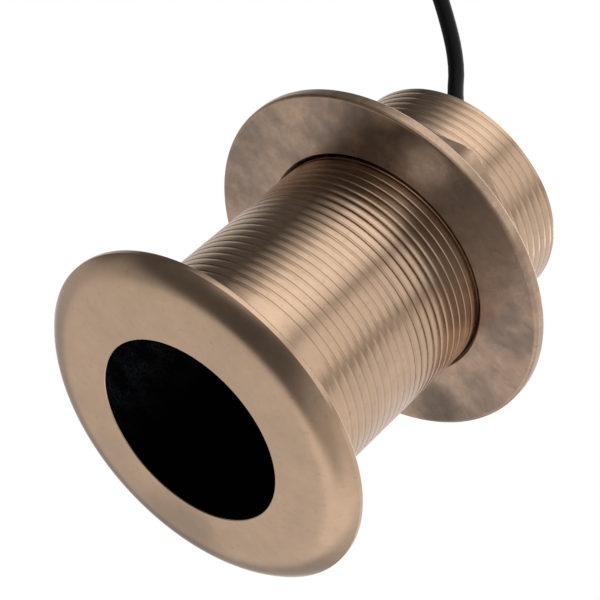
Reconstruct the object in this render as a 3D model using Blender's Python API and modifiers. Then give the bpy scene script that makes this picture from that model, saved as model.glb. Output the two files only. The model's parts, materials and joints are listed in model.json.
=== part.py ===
"""Through-hull sonar transducer: a bronze mushroom housing with a threaded stem, its hull nut,
the sound element and tuning parts potted inside, and the cable with its coil and plug.

Metres, +Z up the stem. The origin is the centre of the acoustic face, which the part stands on.
"""

import math

import bmesh
import bpy
from mathutils import Matrix, Vector

MM = 0.001

# General
FIT_GAP = 0.3 * MM
CUT_OVERRUN = 3.0 * MM
ROUND_STEPS = 24
INNER_STEPS = 16
SMALL_STEPS = 12
WIRE_STEPS = 8
ROUTE_STEPS = 24
CORNER_POINTS = 2
MERGE = 0.005 * MM
WELD = 0.01 * MM
SHARP_ANGLE = math.radians(35)
HEX_SIDES = 6

# Stem and its thread, two inches with twelve threads to the inch
STEM_RADIUS = 25.4 * MM
STEM_TOP = 88.6 * MM
STEM_WALL = 4.8 * MM
STEM_CHAMFER = 0.4 * MM
THREAD_PITCH = 2.1167 * MM
THREAD_DEPTH = 1.3 * MM
THREAD_START = 15.6 * MM
GROOVE_SHARE = 0.82
FLANK_OVERRUN_SHARE = 0.08
RUNOUT_SHARE = 0.5

# Mushroom head
HEAD_OVERHANG = 11.65 * MM
HEAD_BACK = 5.2 * MM
DOME_RUN = 9.25 * MM
DOME_POWER = 2.8
DOME_POINTS = 6
RIM_BAND = 0.8 * MM
RIM_ROUND = 0.5 * MM
NECK_FILLET = 1.6 * MM
FILLET_POINTS = 3

# Key groove that locks the acoustic window into the face
KEY_DEPTH = 1.4 * MM
KEY_LOW = 1.8 * MM
KEY_HEIGHT = 2.4 * MM

# Hull nut
NUT_FACE_Z = 59.6 * MM
NUT_FLANGE_WIDTH = 14.0 * MM
NUT_EDGE_RUN = 0.8 * MM
NUT_EDGE_RISE = 0.8 * MM
NUT_RIM_HEIGHT = 1.4 * MM
NUT_BACK_ROUND = 0.6 * MM
NUT_BACK_RISE = 0.6 * MM
NUT_HEIGHT = 12.4 * MM
NUT_WALL = 3.175 * MM
NUT_HEX_TURN = math.radians(24)
NUT_BORE_CHAMFER = 0.5 * MM
NUT_TOP_CHAMFER = 0.6 * MM

# Sound element stack, from the face up
WINDOW_FACE_THICKNESS = 4.0 * MM
WINDOW_CUP_WALL = 1.7 * MM
WINDOW_CUP_LIP = 0.9 * MM
SLEEVE_WALL = 2.0 * MM
CERAMIC_THICKNESS = 10.5 * MM
BACKING_THICKNESS = 6.0 * MM
LEAD_RADIUS = 0.6 * MM
LEAD_PLACE_SHARE = 0.85
SOLDER_RADIUS = 1.3 * MM
SOLDER_HEIGHT = 1.0 * MM
THERMISTOR_RADIUS = 1.2 * MM
THERMISTOR_HEIGHT = 3.6 * MM
THERMISTOR_LEAD_RADIUS = 0.3 * MM
THERMISTOR_LEAD_SPACING = 1.3 * MM

# Matching transformer: a pot core on a bolt. The core's radius is a share of the leads' distance from
# the middle, and the other radii are shares of the core's
CORE_SHARE = 0.794
CORE_WALL_SHARE = 0.833
CORE_POST_SHARE = 0.426
CORE_HOLE_SHARE = 0.213
CORE_SLOT_SHARE = 0.333
BOLT_HEAD_SHARE = 0.352
BOLT_NUT_SHARE = 0.648
CORE_HALF_HEIGHT = 6.6 * MM
CORE_WEB = 2.1 * MM
BOBBIN_TUBE_SHARE = 0.056
BOBBIN_FLANGE = 0.7 * MM
PRIMARY_SHARE = 0.42
SECONDARY_SHARE = 0.38
BOLT_HEAD_HEIGHT = 2.0 * MM
BOLT_NUT_HEIGHT = 2.8 * MM

# Circuit board
BOARD_MARGIN = 3.1 * MM
BOARD_THICKNESS = 1.6 * MM
CHIP_SIZE = (5.0 * MM, 4.0 * MM, 1.6 * MM)
CHIP_EDGE = 0.3 * MM
CAPACITOR_SIZE = (9.0 * MM, 4.0 * MM, 7.0 * MM)
CAPACITOR_EDGE = 0.7 * MM
CAPACITOR_MARGIN = 2.6 * MM
RESISTOR_LENGTH = 6.5 * MM
RESISTOR_RADIUS = 1.25 * MM
RESISTOR_WIRE_RADIUS = 0.35 * MM
RESISTOR_SPAN = 10.0 * MM
RESISTOR_SPACING = 3.0 * MM
LEAD_TAIL = 1.2 * MM

# Potting, poured in two layers. The shares divide the height that its pieces leave free, and the
# rest of it is the seal's depth in the resin
POUR_RECESS = 3.0 * MM
BOARD_HEADROOM = 2.0 * MM
POUR_FLOOR_SHARE = 0.241
CHAMBER_SHARE = 0.241
CHAMBER_NECK_SHARE = 0.123
TAIL_SHARE = 0.154
CORE_CHAMBER_RADIUS = 9.5 * MM
CORE_CHAMBER_NECK = 2.7 * MM

# Cable where it enters the potting
CABLE_RADIUS = 1.8 * MM
CORE_WIRE_RADIUS = 0.45 * MM
CORE_WIRE_OFFSET = 0.6 * MM
CORE_WIRE_SPACING = 2.7 * MM
CORE_PAD_OFFSET = 6.0 * MM
BRAID_WALL = 0.35 * MM
BRAID_LENGTH = 3.2 * MM
SEAL_FOOT_WIDTH = 1.2 * MM
SEAL_FOOT_HEIGHT = 2.0 * MM
SEAL_BASE_WALL = 2.1 * MM
SEAL_TOP_WALL = 0.8 * MM
SEAL_STAND = 2.0 * MM

# Cable outside: one length from the stem to its coil, then a short one to the plug
CABLE_SPACING = 7.0 * MM
CABLE_ROUTE = [
    (0, 0, 87.9), (0, 0, 89.6), (-0.9, 0.25, 93.2), (-3.6, 1.0, 97.8), (-9.4, 2.9, 104.6),
    (-15.6, 4.5, 112.0), (-20.3, 4.3, 117.6), (-27.0, 3.6, 122.6), (-38.0, 2.2, 128.0), (-51.0, 0, 131.0),
    (-65.0, -2.6, 129.2), (-78.0, -8.5, 121.6), (-88.6, -17.0, 108.0), (-96.2, -26.0, 90.6),
    (-102.4, -34.0, 72.2), (-107.2, -38.4, 55.0), (-111.0, -35.6, 41.4), (-113.0, -25.0, 33.0),
    (-112.8, -11.0, 30.3), (-110.4, 4.0, 29.85),
]
LEAD_ROUTE = [
    (-119.5, -36.4, 4.6), (-110.0, -30.0, 3.4), (-101.0, -22.6, 3.6), (-93.4, -13.0, 5.6),
    (-89.0, -3.0, 7.3),
]

# Coil, a bundle of turns held by two ties
CABLE_LENGTH = 10000 * MM
COIL_NEAR_EDGE = 103.48 * MM
COIL_MEAN_RADIUS = 32.6 * MM
COIL_COLUMNS = 6
TURN_SPACING = 3.68 * MM
ROW_SPACING = 3.2 * MM
COIL_ROUND = 4.5 * MM
TIE_WIDTH = 4.0 * MM
TIE_THICKNESS = 1.1 * MM
TIE_ROUND = 3.0 * MM
TIE_HEAD = (5.0 * MM, 5.4 * MM, 3.4 * MM)
TIE_ANGLES = (math.radians(118), math.radians(242))

# Plug
PLUG_REAR_RADIUS = 3.3 * MM
PLUG_TAPER_RADIUS = 5.2 * MM
PLUG_TAPER_LENGTH = 13.0 * MM
PLUG_SHOULDER = 2.4 * MM
PLUG_WALL = 1.3 * MM
PLUG_GRIP_LENGTH = 15.0 * MM
PLUG_RIB_DEPTH = 0.7 * MM
PLUG_RIBS = 4
RIB_GROOVE_MOUTH_SHARE = 0.5
RIB_GROOVE_FLOOR_SHARE = 0.25
PLUG_SHELL_RADIUS = 5.6 * MM
PLUG_SHELL_WALL = 0.8 * MM
PLUG_SHELL_SEAT = 5.0 * MM
PLUG_SHELL_REACH = 10.0 * MM
PLUG_INSERT_HEIGHT = 7.0 * MM
PLUG_PIN_RADIUS = 0.55 * MM
PLUG_PIN_CIRCLE_SHARE = 0.6
PLUG_PIN_REACH = 6.5 * MM
PLUG_PIN_SEAT = 3.0 * MM
PLUG_PINS = 5
PLUG_SEAL_RADIUS = 0.75 * MM
PLUG_SEAL_SEAT = 0.4 * MM
PLUG_FLOOR_GAP = 0.3 * MM

# Radii worked out from the sizes above
BORE_RADIUS = STEM_RADIUS - STEM_WALL
KEY_RADIUS = BORE_RADIUS + KEY_DEPTH
HEAD_RADIUS = STEM_RADIUS + HEAD_OVERHANG
FACE_FLAT_RADIUS = HEAD_RADIUS - DOME_RUN
DOME_RISE = HEAD_BACK - RIM_ROUND - RIM_BAND
NUT_ACROSS_FLATS = 2 * (STEM_RADIUS + NUT_WALL)
NUT_FLANGE_RADIUS = STEM_RADIUS + NUT_FLANGE_WIDTH
NUT_FACE_RADIUS = NUT_FLANGE_RADIUS - NUT_EDGE_RUN
NUT_HUB_BASE = NUT_FACE_Z + NUT_EDGE_RISE + NUT_RIM_HEIGHT + NUT_BACK_ROUND + NUT_BACK_RISE
POTTING_RADIUS = BORE_RADIUS - FIT_GAP
WINDOW_CUP_BORE = POTTING_RADIUS - WINDOW_CUP_WALL
SLEEVE_RADIUS = WINDOW_CUP_BORE - FIT_GAP
CERAMIC_RADIUS = SLEEVE_RADIUS - SLEEVE_WALL - FIT_GAP
LEAD_OFFSET = CERAMIC_RADIUS * LEAD_PLACE_SHARE
CORE_RADIUS = LEAD_OFFSET * CORE_SHARE
CORE_POCKET_RADIUS = CORE_RADIUS + FIT_GAP
CORE_WALL_INNER = CORE_RADIUS * CORE_WALL_SHARE
CORE_POST_RADIUS = CORE_RADIUS * CORE_POST_SHARE
CORE_HOLE_RADIUS = CORE_RADIUS * CORE_HOLE_SHARE
BOLT_RADIUS = CORE_HOLE_RADIUS - FIT_GAP
BOLT_NUT_FLATS = CORE_RADIUS * BOLT_NUT_SHARE
BOARD_RADIUS = POTTING_RADIUS - BOARD_MARGIN
SEAL_BORE = CABLE_RADIUS + FIT_GAP
SEAL_BASE_RADIUS = SEAL_BORE + SEAL_BASE_WALL
SEAL_TOP_RADIUS = SEAL_BORE + SEAL_TOP_WALL
SEAL_FOOT_RADIUS = SEAL_BASE_RADIUS + SEAL_FOOT_WIDTH
PLUG_GRIP_RADIUS = PLUG_SHELL_RADIUS + FIT_GAP + PLUG_WALL

# Heights worked out from the sizes above
STACK_BASE = WINDOW_FACE_THICKNESS + FIT_GAP
CERAMIC_TOP = STACK_BASE + CERAMIC_THICKNESS
BACKING_BASE = CERAMIC_TOP + FIT_GAP
BACKING_TOP = BACKING_BASE + BACKING_THICKNESS
WINDOW_CUP_TOP = BACKING_TOP + WINDOW_CUP_LIP
LOWER_POUR_BASE = BACKING_TOP + FIT_GAP
LOWER_POUR_SHOULDER = WINDOW_CUP_TOP + FIT_GAP
UPPER_POUR_TOP = STEM_TOP - POUR_RECESS
CORE_STACK = BOLT_NUT_HEIGHT + 2 * CORE_HALF_HEIGHT + BOLT_HEAD_HEIGHT + 4 * FIT_GAP
BOARD_ROOM = CAPACITOR_SIZE[2] + BOARD_HEADROOM
BOARD_STACK = FIT_GAP + BOARD_THICKNESS + BOARD_ROOM
FREE_HEIGHT = UPPER_POUR_TOP - LOWER_POUR_SHOULDER - CORE_STACK - BOARD_STACK
NUT_POCKET_FLOOR = LOWER_POUR_SHOULDER + FREE_HEIGHT * POUR_FLOOR_SHARE
BOLT_NUT_BASE = NUT_POCKET_FLOOR + FIT_GAP
CORE_FLOOR = BOLT_NUT_BASE + BOLT_NUT_HEIGHT
CORE_BASE = CORE_FLOOR + FIT_GAP
CORE_JOINT = CORE_BASE + CORE_HALF_HEIGHT
UPPER_CORE_BASE = CORE_JOINT + FIT_GAP
CORE_TOP = UPPER_CORE_BASE + CORE_HALF_HEIGHT
BOLT_HEAD_BASE = CORE_TOP + FIT_GAP
LOWER_POUR_TOP = BOLT_HEAD_BASE + BOLT_HEAD_HEIGHT
BOARD_BASE = LOWER_POUR_TOP + FIT_GAP
BOARD_TOP = BOARD_BASE + BOARD_THICKNESS
BOARD_CEILING = BOARD_TOP + BOARD_ROOM
CHAMBER_TOP = BOARD_CEILING + FREE_HEIGHT * CHAMBER_SHARE
TAIL_BOTTOM = CHAMBER_TOP + FREE_HEIGHT * CHAMBER_NECK_SHARE
SEAL_BOTTOM = TAIL_BOTTOM + FREE_HEIGHT * TAIL_SHARE
SEAL_TOP = UPPER_POUR_TOP + SEAL_STAND

# The coil's turns, worked out from the length that its free stretches leave
FREE_LENGTH = MM * sum(
    math.dist(here, there)
    for route in (CABLE_ROUTE, LEAD_ROUTE)
    for here, there in zip(route, route[1:])
)
COIL_TURNS = (CABLE_LENGTH - FREE_LENGTH) / (2 * math.pi * COIL_MEAN_RADIUS)
COIL_ROWS = math.ceil(COIL_TURNS / COIL_COLUMNS)
COIL_WIDTH = (COIL_COLUMNS - 1 + 0.5) * TURN_SPACING + 2 * CABLE_RADIUS
COIL_HEIGHT = (COIL_ROWS - 1) * ROW_SPACING + 2 * CABLE_RADIUS
COIL_BASE = TIE_THICKNESS + 2 * FIT_GAP
COIL_CENTRE = (-COIL_NEAR_EDGE - COIL_MEAN_RADIUS - COIL_WIDTH / 2, 0.0)


def clear_scene():
    for obj in list(bpy.data.objects):
        bpy.data.objects.remove(obj, do_unlink=True)


def new_collection(name):
    collection = bpy.data.collections.new(name)
    bpy.context.scene.collection.children.link(collection)
    return collection


def make_material(name, colour, roughness, metallic=0.0):
    material = bpy.data.materials.new(name)
    material.use_nodes = True
    shader = material.node_tree.nodes["Principled BSDF"]
    shader.inputs["Base Color"].default_value = (*colour, 1)
    shader.inputs["Roughness"].default_value = roughness
    shader.inputs["Metallic"].default_value = metallic
    return material


def add_object(name, data, place, material=None):
    obj = bpy.data.objects.new(name, data)
    place.objects.link(obj)
    if material:
        data.materials.append(material)
    if place is CUTTERS:
        obj.hide_render = True
        obj.display_type = "WIRE"
    return obj


def mesh_from(bm, name):
    bmesh.ops.recalc_face_normals(bm, faces=bm.faces)
    mesh = bpy.data.meshes.new(name)
    bm.to_mesh(mesh)
    bm.free()
    return mesh


def turned(name, profile, place, material=None, ring=False, steps=ROUND_STEPS):
    """A turned piece. The profile is (radius, height) pairs that run down its outer side."""
    count = len(profile)
    edges = [(i, i + 1) for i in range(count - 1)]
    if ring:
        edges.append((count - 1, 0))
    mesh = bpy.data.meshes.new(name)
    mesh.from_pydata([(r, 0, z) for r, z in profile], edges, [])
    obj = add_object(name, mesh, place, material)
    screw = obj.modifiers.new("Turn", "SCREW")
    screw.steps = steps
    screw.render_steps = steps
    screw.use_merge_vertices = True
    screw.merge_threshold = MERGE
    return obj


def cylinder(name, radius, low, high, place, material=None, centre=(0, 0), steps=SMALL_STEPS):
    obj = turned(name, [(0, high), (radius, high), (radius, low), (0, low)], place, material, steps=steps)
    obj.location = (centre[0], centre[1], 0)
    return obj


def prism(name, across_flats, low, high, turn, place, material=None):
    """A hexagonal prism that stands on its end."""
    bm = bmesh.new()
    corner = across_flats / 2 / math.cos(math.pi / HEX_SIDES)
    bmesh.ops.create_cone(
        bm, cap_ends=True, segments=HEX_SIDES, radius1=corner, radius2=corner, depth=high - low
    )
    bmesh.ops.rotate(bm, verts=bm.verts, matrix=Matrix.Rotation(turn - math.pi / 2, 3, "Z"))
    bmesh.ops.translate(bm, verts=bm.verts, vec=(0, 0, (low + high) / 2))
    return add_object(name, mesh_from(bm, name), place, material)


def block(name, size, centre, place, material=None, edge=0.0):
    """A box, whose edges are chamfered by edge."""
    bm = bmesh.new()
    bmesh.ops.create_cube(bm, size=1, matrix=Matrix.Diagonal((*size, 1)))
    obj = add_object(name, mesh_from(bm, name), place, material)
    obj.location = centre
    if edge:
        bevel = obj.modifiers.new("Edges", "BEVEL")
        bevel.width = edge
    return obj


def loft(name, rings, place, material=None):
    """A closed solid through equal rings of points, with flat ends."""
    bm = bmesh.new()
    rows = [[bm.verts.new(point) for point in ring] for ring in rings]
    for row, after in zip(rows, rows[1:]):
        for i, point in enumerate(row):
            beside = (i + 1) % len(row)
            bm.faces.new((point, row[beside], after[beside], after[i]))
    bm.faces.new(rows[0])
    bm.faces.new(rows[-1])
    return add_object(name, mesh_from(bm, name), place, material)


def change(obj, other, operation):
    boolean = obj.modifiers.new(operation.title(), "BOOLEAN")
    boolean.object = other
    boolean.operation = operation
    boolean.solver = "EXACT"


def cut(obj, *cutters):
    for cutter in cutters:
        change(obj, cutter, "DIFFERENCE")


def wire(name, points, radius, place, material=None):
    """A round wire or cable through the points."""
    curve = bpy.data.curves.new(name, "CURVE")
    curve.dimensions = "3D"
    curve.bevel_depth = radius
    curve.bevel_resolution = 2
    curve.use_fill_caps = True
    spline = curve.splines.new("POLY")
    spline.points.add(len(points) - 1)
    for at, point in zip(spline.points, points):
        at.co = (*point, 1)
    return add_object(name, curve, place, material)


def weld(mesh, distance):
    bm = bmesh.new()
    bm.from_mesh(mesh)
    bmesh.ops.remove_doubles(bm, verts=bm.verts, dist=distance)
    bm.to_mesh(mesh)
    bm.free()


def as_mesh(obj):
    """The same object with its caps welded, so that it can be cut or can cut."""
    bpy.context.view_layer.update()
    mesh = bpy.data.meshes.new_from_object(obj.evaluated_get(bpy.context.evaluated_depsgraph_get()))
    weld(mesh, MERGE)
    name = obj.name
    place = obj.users_collection[0]
    matrix = obj.matrix_world.copy()
    bpy.data.objects.remove(obj)
    made = add_object(name, mesh, place)
    made.matrix_world = matrix
    return made


def smooth_route(points, spacing):
    """Evenly spaced points on a smooth curve through the route's own points."""
    route = [Vector(point) for point in points]
    route = [2 * route[0] - route[1], *route, 2 * route[-1] - route[-2]]
    fine = []
    for before, start, end, after in zip(route, route[1:], route[2:], route[3:]):
        for i in range(ROUTE_STEPS):
            t = i / ROUTE_STEPS
            fine.append(
                start
                + t * (end - before) / 2
                + t**2 * (2 * before - 5 * start + 4 * end - after) / 2
                + t**3 * (3 * start - before - 3 * end + after) / 2
            )
    fine.append(route[-2])
    lengths = [0.0]
    for here, there in zip(fine, fine[1:]):
        lengths.append(lengths[-1] + (there - here).length)
    count = max(2, round(lengths[-1] / spacing))
    even = []
    at = 0
    for i in range(count + 1):
        wanted = lengths[-1] * i / count
        while at < len(fine) - 2 and lengths[at + 1] < wanted:
            at += 1
        share = (wanted - lengths[at]) / (lengths[at + 1] - lengths[at])
        even.append(fine[at].lerp(fine[at + 1], share))
    return even


def arc(centre, radius, start, end, points, rise=None):
    """A profile's round stretch, as (radius, height) pairs, with angles in degrees. rise makes it oval."""
    rise = rise or radius
    made = []
    for i in range(points + 1):
        angle = math.radians(start + (end - start) * i / points)
        made.append((centre[0] + radius * math.cos(angle), centre[1] + rise * math.sin(angle)))
    return made


def thread_groove(name, start, end, grow):
    """The helical V groove of the stem's thread. grow widens the ridges that it leaves."""
    flank = THREAD_PITCH * GROOVE_SHARE / 2 / THREAD_DEPTH
    root = STEM_RADIUS - THREAD_DEPTH + grow * math.sqrt(1 + 1 / flank**2)
    shoulder = STEM_RADIUS + grow + THREAD_DEPTH * FLANK_OVERRUN_SHARE
    reach = shoulder + CUT_OVERRUN
    half_width = (shoulder - root) * flank
    section = [
        (root, 0),
        (shoulder, -half_width),
        (reach, -half_width),
        (reach, half_width),
        (shoulder, half_width),
    ]
    first = math.ceil((start - THREAD_START) / THREAD_PITCH * ROUND_STEPS)
    last = math.ceil((end - THREAD_START) / THREAD_PITCH * ROUND_STEPS)
    runout = round(ROUND_STEPS * RUNOUT_SHARE)
    rings = []
    for step in range(first, last + 1):
        angle = 2 * math.pi * step / ROUND_STEPS
        height = THREAD_START + THREAD_PITCH * step / ROUND_STEPS
        lift = (shoulder - root) * max(0, 1 - step / runout) if first == 0 else 0
        rings.append(
            [
                ((r + lift) * Vector((math.cos(angle), math.sin(angle), 0)) + Vector((0, 0, height + z)))
                for r, z in section
            ]
        )
    return loft(name, rings, CUTTERS)


def make_housing():
    """One bronze casting: the domed head, the threaded stem and the bore through both."""
    dome = []
    for i in range(DOME_POINTS + 1):
        share = math.sqrt(1 - i / DOME_POINTS)
        dome.append(
            (FACE_FLAT_RADIUS + (HEAD_RADIUS - FACE_FLAT_RADIUS) * share, DOME_RISE * share**DOME_POWER)
        )
    profile = [
        (STEM_RADIUS - STEM_CHAMFER, STEM_TOP),
        (STEM_RADIUS, STEM_TOP - STEM_CHAMFER),
        *arc((STEM_RADIUS + NECK_FILLET, HEAD_BACK + NECK_FILLET), NECK_FILLET, 180, 270, FILLET_POINTS),
        *arc((HEAD_RADIUS - RIM_ROUND, HEAD_BACK - RIM_ROUND), RIM_ROUND, 90, 0, CORNER_POINTS),
        *dome,
        (BORE_RADIUS, 0),
        (BORE_RADIUS, KEY_LOW),
        (KEY_RADIUS, KEY_LOW),
        (KEY_RADIUS, KEY_LOW + KEY_HEIGHT),
        (BORE_RADIUS, KEY_LOW + KEY_HEIGHT),
        (BORE_RADIUS, STEM_TOP),
    ]
    housing = turned("housing", profile, PARTS, BRONZE, ring=True)
    cut(housing, thread_groove("stem_thread", THREAD_START, STEM_TOP + THREAD_PITCH, 0))


def make_hull_nut():
    """The flanged hexagon nut, whose thread runs on the stem's with the fit gap between them."""
    top = NUT_FACE_Z + NUT_HEIGHT
    bore = STEM_RADIUS - THREAD_DEPTH
    hub = NUT_ACROSS_FLATS / 2 / math.cos(math.pi / HEX_SIDES)
    rim_low = NUT_FACE_Z + NUT_EDGE_RISE
    rim_back = rim_low + NUT_RIM_HEIGHT
    profile = [
        (bore, top),
        (hub - NUT_TOP_CHAMFER, top),
        (hub, top - NUT_TOP_CHAMFER),
        (hub, NUT_HUB_BASE),
        (NUT_FLANGE_RADIUS - NUT_BACK_ROUND, rim_back + NUT_BACK_ROUND),
        (NUT_FLANGE_RADIUS, rim_back),
        *arc((NUT_FACE_RADIUS, rim_low), NUT_EDGE_RUN, 0, -90, FILLET_POINTS, NUT_EDGE_RISE),
        (bore, NUT_FACE_Z),
    ]
    nut = turned("hull_nut", profile, PARTS, BRONZE, ring=True)
    low = NUT_FACE_Z - CUT_OVERRUN
    high = top + CUT_OVERRUN
    trim = cylinder("hex_trim", NUT_FLANGE_RADIUS, NUT_HUB_BASE, high, CUTTERS, steps=ROUND_STEPS)
    cut(trim, prism("hex_hub", NUT_ACROSS_FLATS, low, high + CUT_OVERRUN, NUT_HEX_TURN, CUTTERS))
    outer = STEM_RADIUS + FIT_GAP
    tap = cylinder("nut_tap", outer, low, high, CUTTERS, steps=ROUND_STEPS)
    cut(tap, thread_groove("tap_thread", low - THREAD_PITCH, high + THREAD_PITCH, FIT_GAP))
    mouth = outer + NUT_BORE_CHAMFER
    sink = mouth - bore
    front_sink = [
        (0, NUT_FACE_Z + sink),
        (bore, NUT_FACE_Z + sink),
        (mouth, NUT_FACE_Z),
        (mouth, low),
        (0, low),
    ]
    back_sink = [(0, high), (mouth, high), (mouth, top), (bore, top - sink), (0, top - sink)]
    cut(
        nut,
        trim,
        tap,
        turned("front_countersink", front_sink, CUTTERS),
        turned("back_countersink", back_sink, CUTTERS),
    )


def make_window():
    """The moulded black urethane face, a cup whose rib locks into the housing."""
    outer = POTTING_RADIUS
    rib = KEY_RADIUS - FIT_GAP
    profile = [
        (WINDOW_CUP_BORE, WINDOW_CUP_TOP),
        (outer, WINDOW_CUP_TOP),
        (outer, KEY_LOW + KEY_HEIGHT - FIT_GAP),
        (rib, KEY_LOW + KEY_HEIGHT - FIT_GAP),
        (rib, KEY_LOW + FIT_GAP),
        (outer, KEY_LOW + FIT_GAP),
        (outer, 0),
        (0, 0),
    ]
    profile = [(0, WINDOW_FACE_THICKNESS), (WINDOW_CUP_BORE, WINDOW_FACE_THICKNESS), *profile]
    turned("acoustic_window", profile, PARTS, URETHANE)


def upright_bores(obj, places, radius, low, high):
    """Straight holes for wires, at (x, y) places."""
    for i, place in enumerate(places):
        bore = cylinder(f"{obj.name}_bore_{i}", radius, low, high, CUTTERS, centre=place, steps=WIRE_STEPS)
        bore.rotation_euler.z = math.pi / WIRE_STEPS
        cut(obj, bore)


def lead_places():
    return [(LEAD_OFFSET, 0), (-LEAD_OFFSET, 0)]


def thermistor_lead_places():
    half = THERMISTOR_LEAD_SPACING / 2
    return [(half, LEAD_OFFSET), (-half, LEAD_OFFSET)]


def core_pad_places():
    return [
        (math.copysign(CORE_PAD_OFFSET, x), math.copysign(CORE_PAD_OFFSET, y))
        for x, y in ((1, 1), (-1, 1), (-1, -1), (1, -1))
    ]


def make_element():
    """The piezo disc in its cork, and the backing behind it."""
    cylinder("piezo_ceramic", CERAMIC_RADIUS, STACK_BASE, CERAMIC_TOP, PARTS, CERAMIC, steps=INNER_STEPS)
    inner = CERAMIC_RADIUS + FIT_GAP
    turned(
        "isolation_sleeve",
        [
            (inner, CERAMIC_TOP),
            (SLEEVE_RADIUS, CERAMIC_TOP),
            (SLEEVE_RADIUS, STACK_BASE),
            (inner, STACK_BASE),
        ],
        PARTS,
        CORK,
        ring=True,
        steps=INNER_STEPS,
    )
    backing = cylinder(
        "backing_disc", SLEEVE_RADIUS, BACKING_BASE, BACKING_TOP, PARTS, CORK, steps=INNER_STEPS
    )
    low = BACKING_BASE - CUT_OVERRUN
    high = BACKING_TOP + CUT_OVERRUN
    upright_bores(backing, lead_places(), SOLDER_RADIUS + FIT_GAP, low, high)
    upright_bores(backing, [(0, LEAD_OFFSET)], THERMISTOR_RADIUS + FIT_GAP, low, high)


def make_leads():
    """Soldered leads from the ceramic to the board, and the thermistor with its own pair."""
    top = BOARD_TOP + LEAD_TAIL
    base = CERAMIC_TOP + FIT_GAP
    for name, place, material in zip(
        ("signal_lead", "ground_lead"), lead_places(), (RED_WIRE, BLACK_WIRE)
    ):
        profile = [
            (0, top),
            (LEAD_RADIUS, top),
            (LEAD_RADIUS, base + SOLDER_HEIGHT),
            (SOLDER_RADIUS, base),
            (0, base),
        ]
        lead = turned(name, profile, PARTS, material, steps=WIRE_STEPS)
        lead.location = (*place, 0)
    bead = [
        (0, base + THERMISTOR_HEIGHT),
        *arc((0, base + THERMISTOR_HEIGHT - THERMISTOR_RADIUS), THERMISTOR_RADIUS, 60, 0, CORNER_POINTS),
        (THERMISTOR_RADIUS, base),
        (0, base),
    ]
    thermistor = turned("thermistor", bead, PARTS, BEAD, steps=SMALL_STEPS)
    thermistor.location = (0, LEAD_OFFSET, 0)
    lead_base = base + THERMISTOR_HEIGHT + FIT_GAP
    for i, place in enumerate(thermistor_lead_places(), 1):
        cylinder(
            f"thermistor_lead_{i}",
            THERMISTOR_LEAD_RADIUS,
            lead_base,
            top,
            PARTS,
            TINNED,
            centre=place,
            steps=WIRE_STEPS,
        )


def core_half(name, base, up):
    """One half of the pot core, open towards the other half."""
    flip = 1 if up else -1
    back = 0 if up else CORE_HALF_HEIGHT

    def at(radius, height):
        return (radius, base + back + flip * height)

    profile = [
        at(CORE_RADIUS, CORE_HALF_HEIGHT),
        at(CORE_RADIUS, 0),
        at(CORE_HOLE_RADIUS, 0),
        at(CORE_HOLE_RADIUS, CORE_HALF_HEIGHT),
        at(CORE_POST_RADIUS, CORE_HALF_HEIGHT),
        at(CORE_POST_RADIUS, CORE_WEB),
        at(CORE_WALL_INNER, CORE_WEB),
        at(CORE_WALL_INNER, CORE_HALF_HEIGHT),
    ]
    profile = profile if up else profile[::-1]
    half = turned(name, profile, PARTS, FERRITE, ring=True, steps=INNER_STEPS)
    slot_low = min(at(0, CORE_WEB)[1], at(0, CORE_HALF_HEIGHT + CUT_OVERRUN)[1])
    slot_high = max(at(0, CORE_WEB)[1], at(0, CORE_HALF_HEIGHT + CUT_OVERRUN)[1])
    middle = (CORE_WALL_INNER + CORE_RADIUS) / 2
    slot_width = CORE_RADIUS * CORE_SLOT_SHARE
    for side in (-1, 1):
        slot = block(
            f"{name}_slot_{side}",
            (CORE_RADIUS - CORE_WALL_INNER + CUT_OVERRUN, slot_width, slot_high - slot_low),
            (side * middle, 0, (slot_low + slot_high) / 2),
            CUTTERS,
        )
        cut(half, slot)
    return half


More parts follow.
